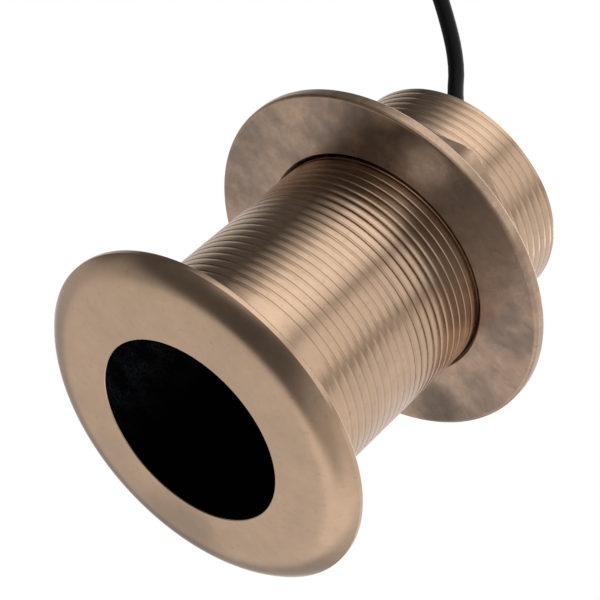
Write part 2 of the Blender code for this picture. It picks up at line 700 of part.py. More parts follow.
def make_transformer():
    """The matching transformer: two pot core halves, bobbin, two windings, and their bolt and nut."""
    core_half("core_half_lower", CORE_BASE, True)
    core_half("core_half_upper", UPPER_CORE_BASE, False)
    low = CORE_BASE + CORE_WEB + FIT_GAP
    high = CORE_TOP - CORE_WEB - FIT_GAP
    tube_inner = CORE_POST_RADIUS + FIT_GAP
    tube_outer = tube_inner + CORE_RADIUS * BOBBIN_TUBE_SHARE
    flange = CORE_WALL_INNER - FIT_GAP
    turned(
        "bobbin",
        [
            (tube_inner, high),
            (flange, high),
            (flange, high - BOBBIN_FLANGE),
            (tube_outer, high - BOBBIN_FLANGE),
            (tube_outer, low + BOBBIN_FLANGE),
            (flange, low + BOBBIN_FLANGE),
            (flange, low),
            (tube_inner, low),
        ],
        PARTS,
        NYLON,
        ring=True,
        steps=INNER_STEPS,
    )
    winding_low = low + BOBBIN_FLANGE + FIT_GAP
    winding_high = high - BOBBIN_FLANGE - FIT_GAP
    inner = tube_outer + FIT_GAP
    depth = flange - inner
    for name, share in (("primary_winding", PRIMARY_SHARE), ("secondary_winding", SECONDARY_SHARE)):
        outer = inner + depth * share
        turned(
            name,
            [(inner, winding_high), (outer, winding_high), (outer, winding_low), (inner, winding_low)],
            PARTS,
            COPPER,
            ring=True,
            steps=INNER_STEPS,
        )
        inner = outer + FIT_GAP
    head_top = BOLT_HEAD_BASE + BOLT_HEAD_HEIGHT - FIT_GAP
    head = CORE_RADIUS * BOLT_HEAD_SHARE
    turned(
        "core_bolt",
        [
            (0, head_top),
            (head, head_top),
            (head, BOLT_HEAD_BASE),
            (BOLT_RADIUS, BOLT_HEAD_BASE),
            (BOLT_RADIUS, BOLT_NUT_BASE),
            (0, BOLT_NUT_BASE),
        ],
        PARTS,
        NYLON,
        steps=SMALL_STEPS,
    )
    nut = prism("core_nut", BOLT_NUT_FLATS, BOLT_NUT_BASE, CORE_FLOOR, math.pi / 2, PARTS, NYLON)
    low = BOLT_NUT_BASE - CUT_OVERRUN
    high = CORE_FLOOR + CUT_OVERRUN
    cut(nut, cylinder("core_nut_bore", BOLT_RADIUS + FIT_GAP, low, high, CUTTERS))


def make_potting():
    """The resin, poured in two layers round what it holds."""
    nut_pocket = BOLT_NUT_FLATS / 2 / math.cos(math.pi / HEX_SIDES) + FIT_GAP
    lower = turned(
        "potting_lower",
        [
            (0, NUT_POCKET_FLOOR),
            (nut_pocket, NUT_POCKET_FLOOR),
            (nut_pocket, CORE_FLOOR),
            (CORE_POCKET_RADIUS, CORE_FLOOR),
            (CORE_POCKET_RADIUS, LOWER_POUR_TOP),
            (POTTING_RADIUS, LOWER_POUR_TOP),
            (POTTING_RADIUS, LOWER_POUR_SHOULDER),
            (SLEEVE_RADIUS, LOWER_POUR_SHOULDER),
            (SLEEVE_RADIUS, LOWER_POUR_BASE),
            (0, LOWER_POUR_BASE),
        ],
        PARTS,
        RESIN,
        steps=INNER_STEPS,
    )
    low = LOWER_POUR_BASE - CUT_OVERRUN
    high = LOWER_POUR_TOP + CUT_OVERRUN
    upright_bores(lower, lead_places(), LEAD_RADIUS + FIT_GAP, low, high)
    upright_bores(lower, thermistor_lead_places(), THERMISTOR_LEAD_RADIUS + FIT_GAP, low, high)
    room = BOARD_RADIUS + FIT_GAP
    foot_top = SEAL_BOTTOM + SEAL_FOOT_HEIGHT + FIT_GAP
    seal = SEAL_BASE_RADIUS + FIT_GAP
    turned(
        "potting_upper",
        [
            (seal, UPPER_POUR_TOP),
            (POTTING_RADIUS, UPPER_POUR_TOP),
            (POTTING_RADIUS, BOARD_BASE),
            (room, BOARD_BASE),
            (room, BOARD_CEILING),
            (CORE_CHAMBER_RADIUS, BOARD_CEILING),
            (CORE_CHAMBER_NECK, CHAMBER_TOP),
            (SEAL_BORE, TAIL_BOTTOM - FIT_GAP),
            (SEAL_BORE, SEAL_BOTTOM - FIT_GAP),
            (SEAL_FOOT_RADIUS + FIT_GAP, SEAL_BOTTOM - FIT_GAP),
            (SEAL_FOOT_RADIUS + FIT_GAP, foot_top),
            (seal, foot_top),
        ],
        PARTS,
        RESIN,
        ring=True,
        steps=INNER_STEPS,
    )


def make_board():
    """The round circuit board with what is soldered on it."""
    board = cylinder("circuit_board", BOARD_RADIUS, BOARD_BASE, BOARD_TOP, PARTS, BOARD, steps=INNER_STEPS)
    low = BOARD_BASE - CUT_OVERRUN
    high = BOARD_TOP + CUT_OVERRUN
    upright_bores(board, lead_places(), LEAD_RADIUS + FIT_GAP, low, high)
    upright_bores(board, thermistor_lead_places(), THERMISTOR_LEAD_RADIUS + FIT_GAP, low, high)
    upright_bores(board, core_pad_places(), CORE_WIRE_RADIUS + FIT_GAP, low, high)
    seat = BOARD_TOP + FIT_GAP
    capacitor_reach = math.sqrt(BOARD_RADIUS**2 - (CAPACITOR_SIZE[0] / 2) ** 2) - CAPACITOR_MARGIN
    resistor_y = LEAD_OFFSET - RESISTOR_SPACING
    block("id_chip", CHIP_SIZE, (0, 0, seat + CHIP_SIZE[2] / 2), PARTS, CHIP, CHIP_EDGE)
    block(
        "tuning_capacitor",
        CAPACITOR_SIZE,
        (0, CAPACITOR_SIZE[1] / 2 - capacitor_reach, seat + CAPACITOR_SIZE[2] / 2),
        PARTS,
        CAPACITOR,
        CAPACITOR_EDGE,
    )
    height = seat + RESISTOR_RADIUS
    half = RESISTOR_LENGTH / 2
    profile = [
        (0, half),
        (RESISTOR_RADIUS, half),
        (RESISTOR_RADIUS, -half),
        (0, -half),
    ]
    resistor = turned("damping_resistor", profile, PARTS, RESISTOR, steps=SMALL_STEPS)
    resistor.location = (0, resistor_y, height)
    resistor.rotation_euler = (0, math.pi / 2, 0)
    end = RESISTOR_SPAN / 2
    legs = wire(
        "resistor_legs",
        [
            (-end, resistor_y, seat),
            (-end, resistor_y, height),
            (end, resistor_y, height),
            (end, resistor_y, seat),
        ],
        RESISTOR_WIRE_RADIUS,
        CUTTERS,
    )
    change(resistor, as_mesh(legs), "UNION")


def make_cable_entry():
    """The cable's stripped end in the resin, its cores and braid, and the rubber seal round it."""
    cylinder("cable_tail", CABLE_RADIUS, TAIL_BOTTOM, SEAL_TOP, PARTS, JACKET)
    top = TAIL_BOTTOM - FIT_GAP
    colours = (BLUE_WIRE, BLACK_WIRE, WHITE_WIRE, BROWN_WIRE)
    names = ("core_blue", "core_black", "core_white", "core_brown")
    for name, pad, material in zip(names, core_pad_places(), colours):
        side = Vector((math.copysign(1, pad[0]), math.copysign(1, pad[1]), 0))
        near = side * CORE_WIRE_OFFSET
        wide = Vector((*pad, 0))
        route = [
            near + Vector((0, 0, top)),
            near + Vector((0, 0, top - BRAID_LENGTH)),
            near.lerp(wide, 0.5) + Vector((0, 0, (top - BRAID_LENGTH + BOARD_CEILING) / 2)),
            wide + Vector((0, 0, BOARD_CEILING - LEAD_TAIL)),
            wide + Vector((0, 0, BOARD_BASE)),
        ]
        wire(name, smooth_route(route, CORE_WIRE_SPACING), CORE_WIRE_RADIUS, PARTS, material)
    inner = CORE_WIRE_OFFSET * math.sqrt(2) + CORE_WIRE_RADIUS + FIT_GAP
    turned(
        "shield_braid",
        [
            (inner, top),
            (inner + BRAID_WALL, top),
            (inner + BRAID_WALL, top - BRAID_LENGTH),
            (inner, top - BRAID_LENGTH),
        ],
        PARTS,
        TINNED,
        ring=True,
        steps=SMALL_STEPS,
    )
    turned(
        "cable_seal",
        [
            (SEAL_BORE, SEAL_TOP),
            (SEAL_TOP_RADIUS, SEAL_TOP),
            (SEAL_BASE_RADIUS, UPPER_POUR_TOP),
            (SEAL_BASE_RADIUS, SEAL_BOTTOM + SEAL_FOOT_HEIGHT),
            (SEAL_FOOT_RADIUS, SEAL_BOTTOM + SEAL_FOOT_HEIGHT),
            (SEAL_FOOT_RADIUS, SEAL_BOTTOM),
            (SEAL_BORE, SEAL_BOTTOM),
        ],
        PARTS,
        RUBBER,
        ring=True,
        steps=INNER_STEPS,
    )


def make_cable():
    """The cable's two free stretches and the ring that its coil fills."""
    for name, route in (("cable_run", CABLE_ROUTE), ("cable_lead", LEAD_ROUTE)):
        points = smooth_route([Vector(point) * MM for point in route], CABLE_SPACING)
        if name == "cable_run":
            points.insert(1, points[0] + Vector((0, 0, CABLE_RADIUS)))
        wire(name, points, CABLE_RADIUS, PARTS, JACKET)
    inner = COIL_MEAN_RADIUS - COIL_WIDTH / 2
    outer = COIL_MEAN_RADIUS + COIL_WIDTH / 2
    low = COIL_BASE
    high = COIL_BASE + COIL_HEIGHT
    profile = []
    for centre, start in (
        ((outer - COIL_ROUND, high - COIL_ROUND), 90),
        ((outer - COIL_ROUND, low + COIL_ROUND), 0),
        ((inner + COIL_ROUND, low + COIL_ROUND), -90),
        ((inner + COIL_ROUND, high - COIL_ROUND), -180),
    ):
        profile += arc(centre, COIL_ROUND, start, start - 90, CORNER_POINTS)
    coil = turned("cable_coil", profile, PARTS, JACKET, ring=True)
    coil.location = (*COIL_CENTRE, 0)


def make_ties():
    """Two straps round the coil, each with its locking head."""
    room = (COIL_WIDTH + 2 * FIT_GAP, TIE_WIDTH + 2 * CUT_OVERRUN, COIL_HEIGHT + 2 * FIT_GAP)
    outer = (room[0] + 2 * TIE_THICKNESS, TIE_WIDTH, room[2] + 2 * TIE_THICKNESS)
    middle = COIL_BASE + COIL_HEIGHT / 2
    for i, angle in enumerate(TIE_ANGLES, 1):
        out = Vector((math.cos(angle), math.sin(angle), 0))
        centre = Vector((*COIL_CENTRE, middle)) + COIL_MEAN_RADIUS * out
        strap = rounded_strap(f"coil_tie_{i}", outer, TIE_ROUND + TIE_THICKNESS, PARTS, STRAP)
        hole = rounded_strap(f"tie_room_{i}", room, TIE_ROUND, CUTTERS)
        head = block(f"tie_head_{i}", TIE_HEAD, (0, 0, 0), CUTTERS, edge=FIT_GAP)
        for piece in (strap, hole, head):
            piece.rotation_euler = (0, 0, angle)
            piece.location = centre
        head.location = centre + Vector((0, 0, outer[2] / 2 + TIE_HEAD[2] / 2 - TIE_THICKNESS / 2))
        change(strap, head, "UNION")
        cut(strap, hole)


def rounded_strap(name, size, edge, place, material=None):
    """A box whose four edges along Y are round."""
    corners = []
    half_x = size[0] / 2 - edge
    half_z = size[2] / 2 - edge
    for x, z, start in (
        (half_x, half_z, 90),
        (half_x, -half_z, 0),
        (-half_x, -half_z, -90),
        (-half_x, half_z, -180),
    ):
        corners += arc((x, z), edge, start, start - 90, CORNER_POINTS)
    rings = [[(x, y, z) for x, z in corners] for y in (-size[1] / 2, size[1] / 2)]
    return loft(name, rings, place, material)


def plug_frame():
    """Where the plug lies: its rear face at the lead's end, along the lead's last direction."""
    rear = Vector(LEAD_ROUTE[-1]) * MM
    before = Vector(LEAD_ROUTE[-2]) * MM
    along = rear - before
    along.z = 0
    along.normalize()
    start = rear + FIT_GAP * along
    start.z = PLUG_GRIP_RADIUS + PLUG_FLOOR_GAP
    turn = along.to_track_quat("Z", "Y").to_matrix().to_4x4()
    return Matrix.Translation(start) @ turn


def make_plug():
    """The moulded plug: body, metal shell, insert, pins and sealing ring. Its rear face is at height 0."""
    frame = plug_frame()
    grip_low = PLUG_TAPER_LENGTH + PLUG_SHOULDER
    grip_high = grip_low + PLUG_GRIP_LENGTH
    seat = grip_high - PLUG_SHELL_SEAT
    ribs = []
    pitch = PLUG_GRIP_LENGTH / (PLUG_RIBS + 1)
    mouth = pitch * RIB_GROOVE_MOUTH_SHARE / 2
    floor = pitch * RIB_GROOVE_FLOOR_SHARE / 2
    for i in range(PLUG_RIBS, 0, -1):
        middle = grip_low + pitch * i
        ribs += [
            (PLUG_GRIP_RADIUS, middle + mouth),
            (PLUG_GRIP_RADIUS - PLUG_RIB_DEPTH, middle + floor),
            (PLUG_GRIP_RADIUS - PLUG_RIB_DEPTH, middle - floor),
            (PLUG_GRIP_RADIUS, middle - mouth),
        ]
    socket = PLUG_SHELL_RADIUS + FIT_GAP
    pieces = [
        turned(
            "plug_body",
            [
                (0, seat),
                (socket, seat),
                (socket, grip_high),
                (PLUG_GRIP_RADIUS - PLUG_RIB_DEPTH, grip_high),
                (PLUG_GRIP_RADIUS, grip_high - PLUG_RIB_DEPTH),
                *ribs,
                (PLUG_GRIP_RADIUS, grip_low),
                (PLUG_TAPER_RADIUS, PLUG_TAPER_LENGTH),
                (PLUG_REAR_RADIUS, 0),
                (0, 0),
            ],
            PARTS,
            JACKET,
            steps=INNER_STEPS,
        )
    ]
    shell_low = seat + FIT_GAP
    shell_high = grip_high + PLUG_SHELL_REACH
    shell_inner = PLUG_SHELL_RADIUS - PLUG_SHELL_WALL
    ring_at = grip_high + PLUG_SEAL_RADIUS + FIT_GAP
    groove = PLUG_SHELL_RADIUS - PLUG_SEAL_SEAT
    groove_half = PLUG_SEAL_RADIUS + FIT_GAP / 2
    pieces.append(
        turned(
            "plug_shell",
            [
                (shell_inner, shell_high),
                (PLUG_SHELL_RADIUS, shell_high),
                (PLUG_SHELL_RADIUS, ring_at + groove_half),
                (groove, ring_at + groove_half),
                (groove, ring_at - groove_half),
                (PLUG_SHELL_RADIUS, ring_at - groove_half),
                (PLUG_SHELL_RADIUS, shell_low),
                (shell_inner, shell_low),
            ],
            PARTS,
            NICKEL,
            ring=True,
            steps=INNER_STEPS,
        )
    )
    insert_high = shell_low + PLUG_INSERT_HEIGHT
    insert = cylinder(
        "plug_insert", shell_inner - FIT_GAP, shell_low, insert_high, PARTS, INSERT, steps=INNER_STEPS
    )
    pieces.append(insert)
    pin_low = insert_high - PLUG_PIN_SEAT
    pin_circle = (shell_inner - FIT_GAP) * PLUG_PIN_CIRCLE_SHARE
    for i in range(PLUG_PINS):
        angle = 2 * math.pi * i / PLUG_PINS
        place = (pin_circle * math.cos(angle), pin_circle * math.sin(angle))
        hole = cylinder(
            f"pin_hole_{i}",
            PLUG_PIN_RADIUS + FIT_GAP,
            pin_low - FIT_GAP,
            insert_high + CUT_OVERRUN,
            CUTTERS,
            centre=place,
            steps=WIRE_STEPS,
        )
        hole.matrix_world = frame @ Matrix.Translation((*place, 0))
        cut(insert, hole)
        pin = turned(
            f"plug_pin_{i + 1}",
            [
                (0, insert_high + PLUG_PIN_REACH),
                (PLUG_PIN_RADIUS / 2, insert_high + PLUG_PIN_REACH),
                (PLUG_PIN_RADIUS, insert_high + PLUG_PIN_REACH - PLUG_PIN_RADIUS),
                (PLUG_PIN_RADIUS, pin_low),
                (0, pin_low),
            ],
            PARTS,
            BRASS,
            steps=WIRE_STEPS,
        )
        pin.matrix_world = frame @ Matrix.Translation((*place, 0))
    ring_centre = (groove + FIT_GAP + PLUG_SEAL_RADIUS, ring_at)
    pieces.append(
        turned(
            "plug_seal",
            arc(ring_centre, PLUG_SEAL_RADIUS, 360, 0, WIRE_STEPS)[:-1],
            PARTS,
            RUBBER,
            ring=True,
            steps=INNER_STEPS,
        )
    )
    for piece in pieces:
        piece.matrix_world = frame


def shade_round_pieces():
    """Bakes each mesh part, and shades it smooth with its real edges sharp."""
    bpy.context.view_layer.update()
    graph = bpy.context.evaluated_depsgraph_get()
    baked = {}
    for obj in PARTS.objects:
        if obj.type == "MESH":
            baked[obj] = bpy.data.meshes.new_from_object(obj.evaluated_get(graph))
    for obj, mesh in baked.items():
        weld(mesh, WELD)
        obj.modifiers.clear()
        obj.data = mesh
        mesh.shade_smooth()
        mesh.set_sharp_from_angle(angle=SHARP_ANGLE)


clear_scene()
PARTS = new_collection("sonar_transducer")
CUTTERS = new_collection("cutters")

BRONZE = make_material("bronze", (0.50, 0.36, 0.25), 0.38, 0.9)
URETHANE = make_material("urethane", (0.010, 0.010, 0.011), 0.55)
CERAMIC = make_material("silvered_ceramic", (0.62, 0.61, 0.58), 0.40, 0.8)
CORK = make_material("cork", (0.42, 0.27, 0.14), 0.95)
RESIN = make_material("potting_resin", (0.030, 0.028, 0.026), 0.30)
FERRITE = make_material("ferrite", (0.055, 0.055, 0.060), 0.60)
NYLON = make_material("nylon", (0.78, 0.76, 0.70), 0.50)
COPPER = make_material("copper_wire", (0.72, 0.30, 0.14), 0.30, 1.0)
TINNED = make_material("tinned_wire", (0.66, 0.66, 0.68), 0.35, 1.0)
BEAD = make_material("thermistor_bead", (0.03, 0.10, 0.30), 0.45)
BOARD = make_material("circuit_board", (0.03, 0.20, 0.07), 0.45)
CHIP = make_material("chip", (0.020, 0.020, 0.022), 0.50)
CAPACITOR = make_material("film_capacitor", (0.48, 0.08, 0.05), 0.40)
RESISTOR = make_material("resistor", (0.62, 0.50, 0.32), 0.55)
JACKET = make_material("cable_jacket", (0.012, 0.012, 0.013), 0.50)
RUBBER = make_material("seal_rubber", (0.018, 0.018, 0.018), 0.65)
STRAP = make_material("tie_strap", (0.030, 0.030, 0.032), 0.45)
NICKEL = make_material("nickel", (0.62, 0.60, 0.56), 0.28, 1.0)
BRASS = make_material("pin_brass", (0.80, 0.62, 0.28), 0.25, 1.0)
INSERT = make_material("plug_insert", (0.06, 0.06, 0.065), 0.50)
RED_WIRE = make_material("red_insulation", (0.45, 0.03, 0.02), 0.45)
BLACK_WIRE = make_material("black_insulation", (0.015, 0.015, 0.015), 0.45)
WHITE_WIRE = make_material("white_insulation", (0.80, 0.80, 0.78), 0.45)
BLUE_WIRE = make_material("blue_insulation", (0.03, 0.09, 0.42), 0.45)
BROWN_WIRE = make_material("brown_insulation", (0.20, 0.09, 0.04), 0.45)

make_housing()
make_hull_nut()
make_window()
make_element()
make_leads()
make_transformer()
make_potting()
make_board()
make_cable_entry()
make_cable()
make_ties()
make_plug()
shade_round_pieces()
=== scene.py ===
"""The looks of the through-hull sonar transducer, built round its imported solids.

Metres, +Z up the stem, in the frame of the solids.
"""

import json
import math

import bmesh
import bpy
from mathutils import Matrix, Vector


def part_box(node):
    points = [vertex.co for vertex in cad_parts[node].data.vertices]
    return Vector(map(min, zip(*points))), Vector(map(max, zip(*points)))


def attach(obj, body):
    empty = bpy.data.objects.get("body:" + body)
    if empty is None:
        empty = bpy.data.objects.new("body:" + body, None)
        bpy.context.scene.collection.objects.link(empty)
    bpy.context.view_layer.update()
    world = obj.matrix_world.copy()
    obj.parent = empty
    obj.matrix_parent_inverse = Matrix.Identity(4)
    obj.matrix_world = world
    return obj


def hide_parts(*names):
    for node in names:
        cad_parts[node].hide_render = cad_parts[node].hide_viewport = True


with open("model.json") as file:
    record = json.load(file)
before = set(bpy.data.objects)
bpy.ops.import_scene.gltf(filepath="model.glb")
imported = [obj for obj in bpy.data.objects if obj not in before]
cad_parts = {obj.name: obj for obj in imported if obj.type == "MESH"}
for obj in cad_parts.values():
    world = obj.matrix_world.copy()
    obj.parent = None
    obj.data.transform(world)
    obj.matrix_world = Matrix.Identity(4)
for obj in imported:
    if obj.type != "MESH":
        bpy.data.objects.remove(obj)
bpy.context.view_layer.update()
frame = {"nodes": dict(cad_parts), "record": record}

MM = 0.001
TURN = 2 * math.pi
TOUCHING = 0.0001 * MM

# Sizes read from the solids
HEAD_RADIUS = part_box("housing")[1].x
STEM_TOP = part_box("housing")[1].z
NUT_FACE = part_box("hull_nut")[0].z
NUT_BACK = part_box("hull_nut")[1].z
FLANGE_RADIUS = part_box("hull_nut")[1].x
POUR_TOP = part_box("potting_upper")[1].z
SEAL_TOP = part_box("cable_seal")[1].z
COIL_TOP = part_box("cable_coil")[1].z
COIL_X = (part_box("cable_coil")[0].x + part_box("cable_coil")[1].x) / 2
COIL_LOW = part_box("cable_coil")[0].z

# Fineness: the points round each turned piece, and the angle from which an edge stays sharp
ROUND_STEPS = 144
NUT_STEPS = 180
SEAL_STEPS = 64
PLUG_STEPS = 72
INSERT_STEPS = 48
PIN_STEPS = 20
FLOOR_STEPS = 96
SHARP_DEGREES = 40
BRONZE_SHARP_DEGREES = 32

# Stem, head and bore
STEM_RADIUS = 25.4 * MM
STEM_CHAMFER = 0.4 * MM
BORE_RADIUS = 20.6 * MM
BORE_EDGE = 0.15 * MM
TOP_EDGE = 0.3 * MM
FACE_FLAT_RADIUS = 27.8 * MM
DOME_RISE = 3.9 * MM
DOME_POWER = 2.8
DOME_POINTS = 26
HEAD_BACK = 5.2 * MM
RIM_ROUND = 0.5 * MM
NECK_FILLET = 1.6 * MM
NECK_TOP = 14.2 * MM

# Thread, whose shares are of its pitch
THREAD_PITCH = 2.1167 * MM
THREAD_START = 15.6 * MM
THREAD_FADE_TURNS = 0.6
CREST_CROWN = 0.03 * MM
GROOVE_DEPTH = 0.075 * MM
GROOVE_STEEP_SHARE = 0.12
GROOVE_GENTLE_SHARE = 0.36
SNAP = 0.005 * MM
PROFILE_SHARES = (0, 0.024, 0.048, 0.072, 0.096, 0.12, 0.28, 0.46, 0.64, 0.71, 0.78, 0.85, 0.91, 0.96)

# Hull nut. The hub's rows are in chamfer heights below its top, and its fillet's middle in fillet sizes
NUT_EDGE = 0.8 * MM
NUT_RIM_HEIGHT = 1.4 * MM
NUT_FACE_BORDER = 1.2 * MM
NUT_BACK_ROUND = 0.6 * MM
NUT_BACK_RISE = 0.6 * MM
NUT_BORE_GAP = 0.12 * MM
NUT_COUNTERSINK = 0.8 * MM
HUB_SIDES = 6
HUB_FLATS_RADIUS = 28.575 * MM
HUB_CORNER_RADIUS = HUB_FLATS_RADIUS / math.cos(TURN / 2 / HUB_SIDES)
HUB_CORNER_ROUND = 0.3 * MM
HUB_TURN = math.radians(24)
HUB_BORDER = 1.2 * MM
HUB_FILLET = 0.5 * MM
HUB_FILLET_MIDDLE = (0.24, 0.36)
HUB_CHAMFER = 0.6 * MM
HUB_CHAMFER_SLOPE = 1.7
HUB_SIDE_ROWS = (2.2, 1.4)
HUB_CHAMFER_ROWS = (1, 0.75, 0.5, 0.25, 0)

# Bronze: its colours and the painted shade of the nut's countersink, the borders where it is rubbed clean,
# and the scales of its noises in features a metre
CLEAN_BRONZE = (0.620, 0.430, 0.290)
# Painted shade: the dark colour of the nut's countersink, where the nut meets the stem
COUNTERSINK_SHADE_BRONZE = (0.150, 0.128, 0.108)
SPECK_BROWN = (0.230, 0.155, 0.110)
TARNISH = [
    (0.40, (0.325, 0.238, 0.188)),
    (0.48, (0.435, 0.310, 0.234)),
    (0.54, (0.520, 0.366, 0.270)),
    (0.64, (0.605, 0.423, 0.300)),
]
CLEAN_BLOTCH = 0.3
WORN_BORDER = 1.0 * MM
CLEAN_BORDER = 0.3 * MM
GLOSS_SPREAD = 0.12
BRONZE_BUMP = 0.08
BRONZE_RELIEF = 0.03 * MM
SEED_SHIFTS = (1.0, 0.7, 0.3)
CLOUD_SCALE = 70
PATCH_SCALE = 190
PATCH_SHARE = 0.35
MOTTLE_SCALE = 420
MOTTLE_STOPS = (0.36, 0.64)
SPECK_SCALE = 900
SPECK_STOPS = [(0.58, 0.0), (0.76, 0.20)]
GRAIN_SCALE = 2600
TURNING_SCALES = (60, 60, 5200)
TURNING_SHARE = 0.6

# Spots of tarnish, and on the nut also of painted shade and painted light: each one's place, the reach of its
# core and of its fade, its share and its colour
SPOT_RAGGED = 12.0 * MM
NUT_TARNISH_AND_PAINTED_LIGHT = [
    ((6.0 * MM, -32.0 * MM, NUT_FACE), 11.0 * MM, 24.0 * MM, 0.80, (0.390, 0.350, 0.325)),
    # Painted shade and painted reflection: a dark blot on the nut's face beside the stem
    ((-22.5 * MM, -26.4 * MM, NUT_FACE), 3.0 * MM, 9.5 * MM, 0.70, (0.110, 0.086, 0.066)),
    # Painted light: a pale patch on the nut's face beside the stem
    ((-7.0 * MM, -31.6 * MM, NUT_FACE), 1.0 * MM, 7.5 * MM, 0.90, (0.820, 0.740, 0.680)),
    # Painted shadow: a dark patch on the nut's face beside the stem, on its +X side
    ((30.3 * MM, 15.4 * MM, NUT_FACE), 3.0 * MM, 10.0 * MM, 0.75, (0.130, 0.098, 0.074)),
    ((33.0 * MM, 0, NUT_FACE), 2.0 * MM, 9.0 * MM, 0.45, (0.270, 0.206, 0.166)),
]
HEAD_SPOTS = [
    ((14.0 * MM, 27.6 * MM, 0), 3.0 * MM, 15.0 * MM, 0.65, (0.300, 0.216, 0.152)),
    ((-3.0 * MM, 30.0 * MM, 0), 2.0 * MM, 12.0 * MM, 0.30, (0.340, 0.246, 0.174)),
]

# Window, with a painted sheen in its grain towards one side. Its rows are shares of its radius
WINDOW_GAP = 0.06 * MM
WINDOW_EDGE = 0.25 * MM
WINDOW_DEPTH = 1.6 * MM
WINDOW_ROWS = (0.8, 0.4, 0)
WINDOW_BLACK = (0.0009, 0.0009, 0.0010)
# Painted sheen: a paler, bluish grain towards one side, in place of a reflection
SHEEN_GRAIN_DARK = (0.0010, 0.0011, 0.0013)
SHEEN_GRAIN_PALE = (0.0130, 0.0142, 0.0172)
SHEEN_NONE_AT = -0.2 * BORE_RADIUS
SHEEN_FULL_AT = -0.9 * BORE_RADIUS
GRAIN_AND_SHEEN_SCALE = 1500
SHEEN_GRAIN_STOPS = [(0.40, 0.0), (0.60, 1.0)]
SHEEN_CLOUD_SCALE = 160
SHEEN_CLOUD_STOPS = [(0.42, 0.2), (0.58, 1.0)]

# Resin and seal. The meniscus rows are shares of its width
RESIN_DEPTH = 1.5 * MM
MENISCUS = 0.5 * MM
MENISCUS_ROWS = (0.3, 0.7, 1.0)
MENISCUS_FALL = 0.30 * MM
LEVEL_START = 1.5 * MM
LEVEL_FALL = 0.33 * MM
SEAL_BASE_RADIUS = 4.2 * MM
SEAL_BASE_RISE = 0.2 * MM
SEAL_BASE_ROUND = 0.5 * MM
SEAL_TOP_RADIUS = 2.9 * MM
SEAL_TOP_FLARE = 0.1 * MM
SEAL_TOP_DROP = 0.5 * MM
SEAL_TOP_ROUND = 0.3 * MM

# Moulded, drawn and plated finishes, from each one's scale and roughness
FINISH_TONE_RATIO = 0.2
FINISH_GRAIN_RATIO = 5
FINISH_TONE_STOPS = (0.35, 0.65)
FINISH_SPREAD = 0.16
FINISH_RELIEF = 0.05 * MM

# Cable: the routes are the ones that the solids follow
CABLE_RADIUS = 1.8 * MM
CABLE_SPACING = 2.5 * MM
CABLE_ROUNDNESS = 4
ROUTE_STEPS = 24
CABLE_ROUTE = [
    (0, 0, 0.0879), (-0.00012, 0, 0.0896), (-0.00095, 0.00025, 0.0932), (-0.0033, 0.00095, 0.0978),
    (-0.0094, 0.0029, 0.1046), (-0.0156, 0.0045, 0.112), (-0.0203, 0.0043, 0.1176),
    (-0.027, 0.0036, 0.1226), (-0.038, 0.0022, 0.128), (-0.051, 0, 0.131), (-0.065, -0.0026, 0.1292),
    (-0.078, -0.0085, 0.1216), (-0.0886, -0.017, 0.108), (-0.0962, -0.026, 0.0906),
    (-0.1024, -0.034, 0.0722), (-0.1072, -0.0384, 0.055), (-0.111, -0.0356, 0.0414),
    (-0.113, -0.025, 0.033), (-0.1128, -0.011, 0.0303), (-0.1104, 0.004, 0.02985),
]
LEAD_ROUTE = [
    (-0.1195, -0.0364, 0.0046), (-0.11, -0.03, 0.0034), (-0.101, -0.0226, 0.0036),
    (-0.0934, -0.013, 0.0056), (-0.089, -0.003, 0.0073),
]
COIL_MEAN_RADIUS = 32.6 * MM
COIL_COLUMNS = 6
COIL_ROWS = 8
TURN_SPACING = 3.68 * MM
ROW_SPACING = 3.2 * MM
ROW_STAGGER = 0.25
POINTS_PER_TURN = 36
CROSSING_START = math.radians(-45)
CROSSING_END = math.radians(35)
JOIN_END = math.radians(60)
DROP_END = math.radians(75)
LEAVE_TURN = math.radians(225)

# Ties round the coil
TIE_ANGLES = (math.radians(118), math.radians(242))
TIE_GAP = 0.3 * MM
TIE_THICKNESS = 1.1 * MM
TIE_WIDTH = 4.0 * MM
TIE_ROUND = 3.0 * MM
TIE_EDGE = 0.22 * MM
TIE_HEAD = (5.0 * MM, 5.4 * MM, 3.4 * MM)
TIE_HEAD_EDGE = 0.45 * MM
TIE_TAIL = (1.6 * MM, 3.44 * MM, 0.9 * MM)
TIE_TAIL_EDGE = 0.2 * MM
TIE_TAIL_OUT = 0.5 * MM
TIE_TAIL_LIFT = 0.3 * MM

# Plug
PLUG_REAR_RADIUS = 3.3 * MM
PLUG_REAR_EDGE = 0.4 * MM
PLUG_TAPER_RADIUS = 5.2 * MM
PLUG_TAPER_LENGTH = 13.0 * MM
PLUG_TAPER_SWELL = 0.9 * MM
PLUG_SHOULDER = 2.4 * MM
PLUG_GRIP_RADIUS = 7.2 * MM
PLUG_GRIP_LENGTH = 15.0 * MM
PLUG_GRIP_ROUND = 1.2 * MM
PLUG_RIB_DEPTH = 0.7 * MM
PLUG_RIB_SHARE = 0.7
PLUG_RIB_ROWS = 8
PLUG_RIBS = 4
PLUG_SHELL_RADIUS = 5.6 * MM
PLUG_SHELL_WALL = 0.8 * MM
PLUG_SHELL_SEAT = 5.0 * MM
PLUG_SHELL_REACH = 10.0 * MM
PLUG_LIP = 0.25 * MM
PLUG_INSERT_HEIGHT = 7.0 * MM
PLUG_PIN_RADIUS = 0.55 * MM
PLUG_PIN_CIRCLE = 2.7 * MM
PLUG_PIN_REACH = 6.5 * MM
PLUG_PINS = 5
PLUG_SEAL_RADIUS = 0.75 * MM
PLUG_SEAL_SEAT = 0.4 * MM
PLUG_FLOOR_GAP = 0.3 * MM
PLUG_FIT = 0.3 * MM

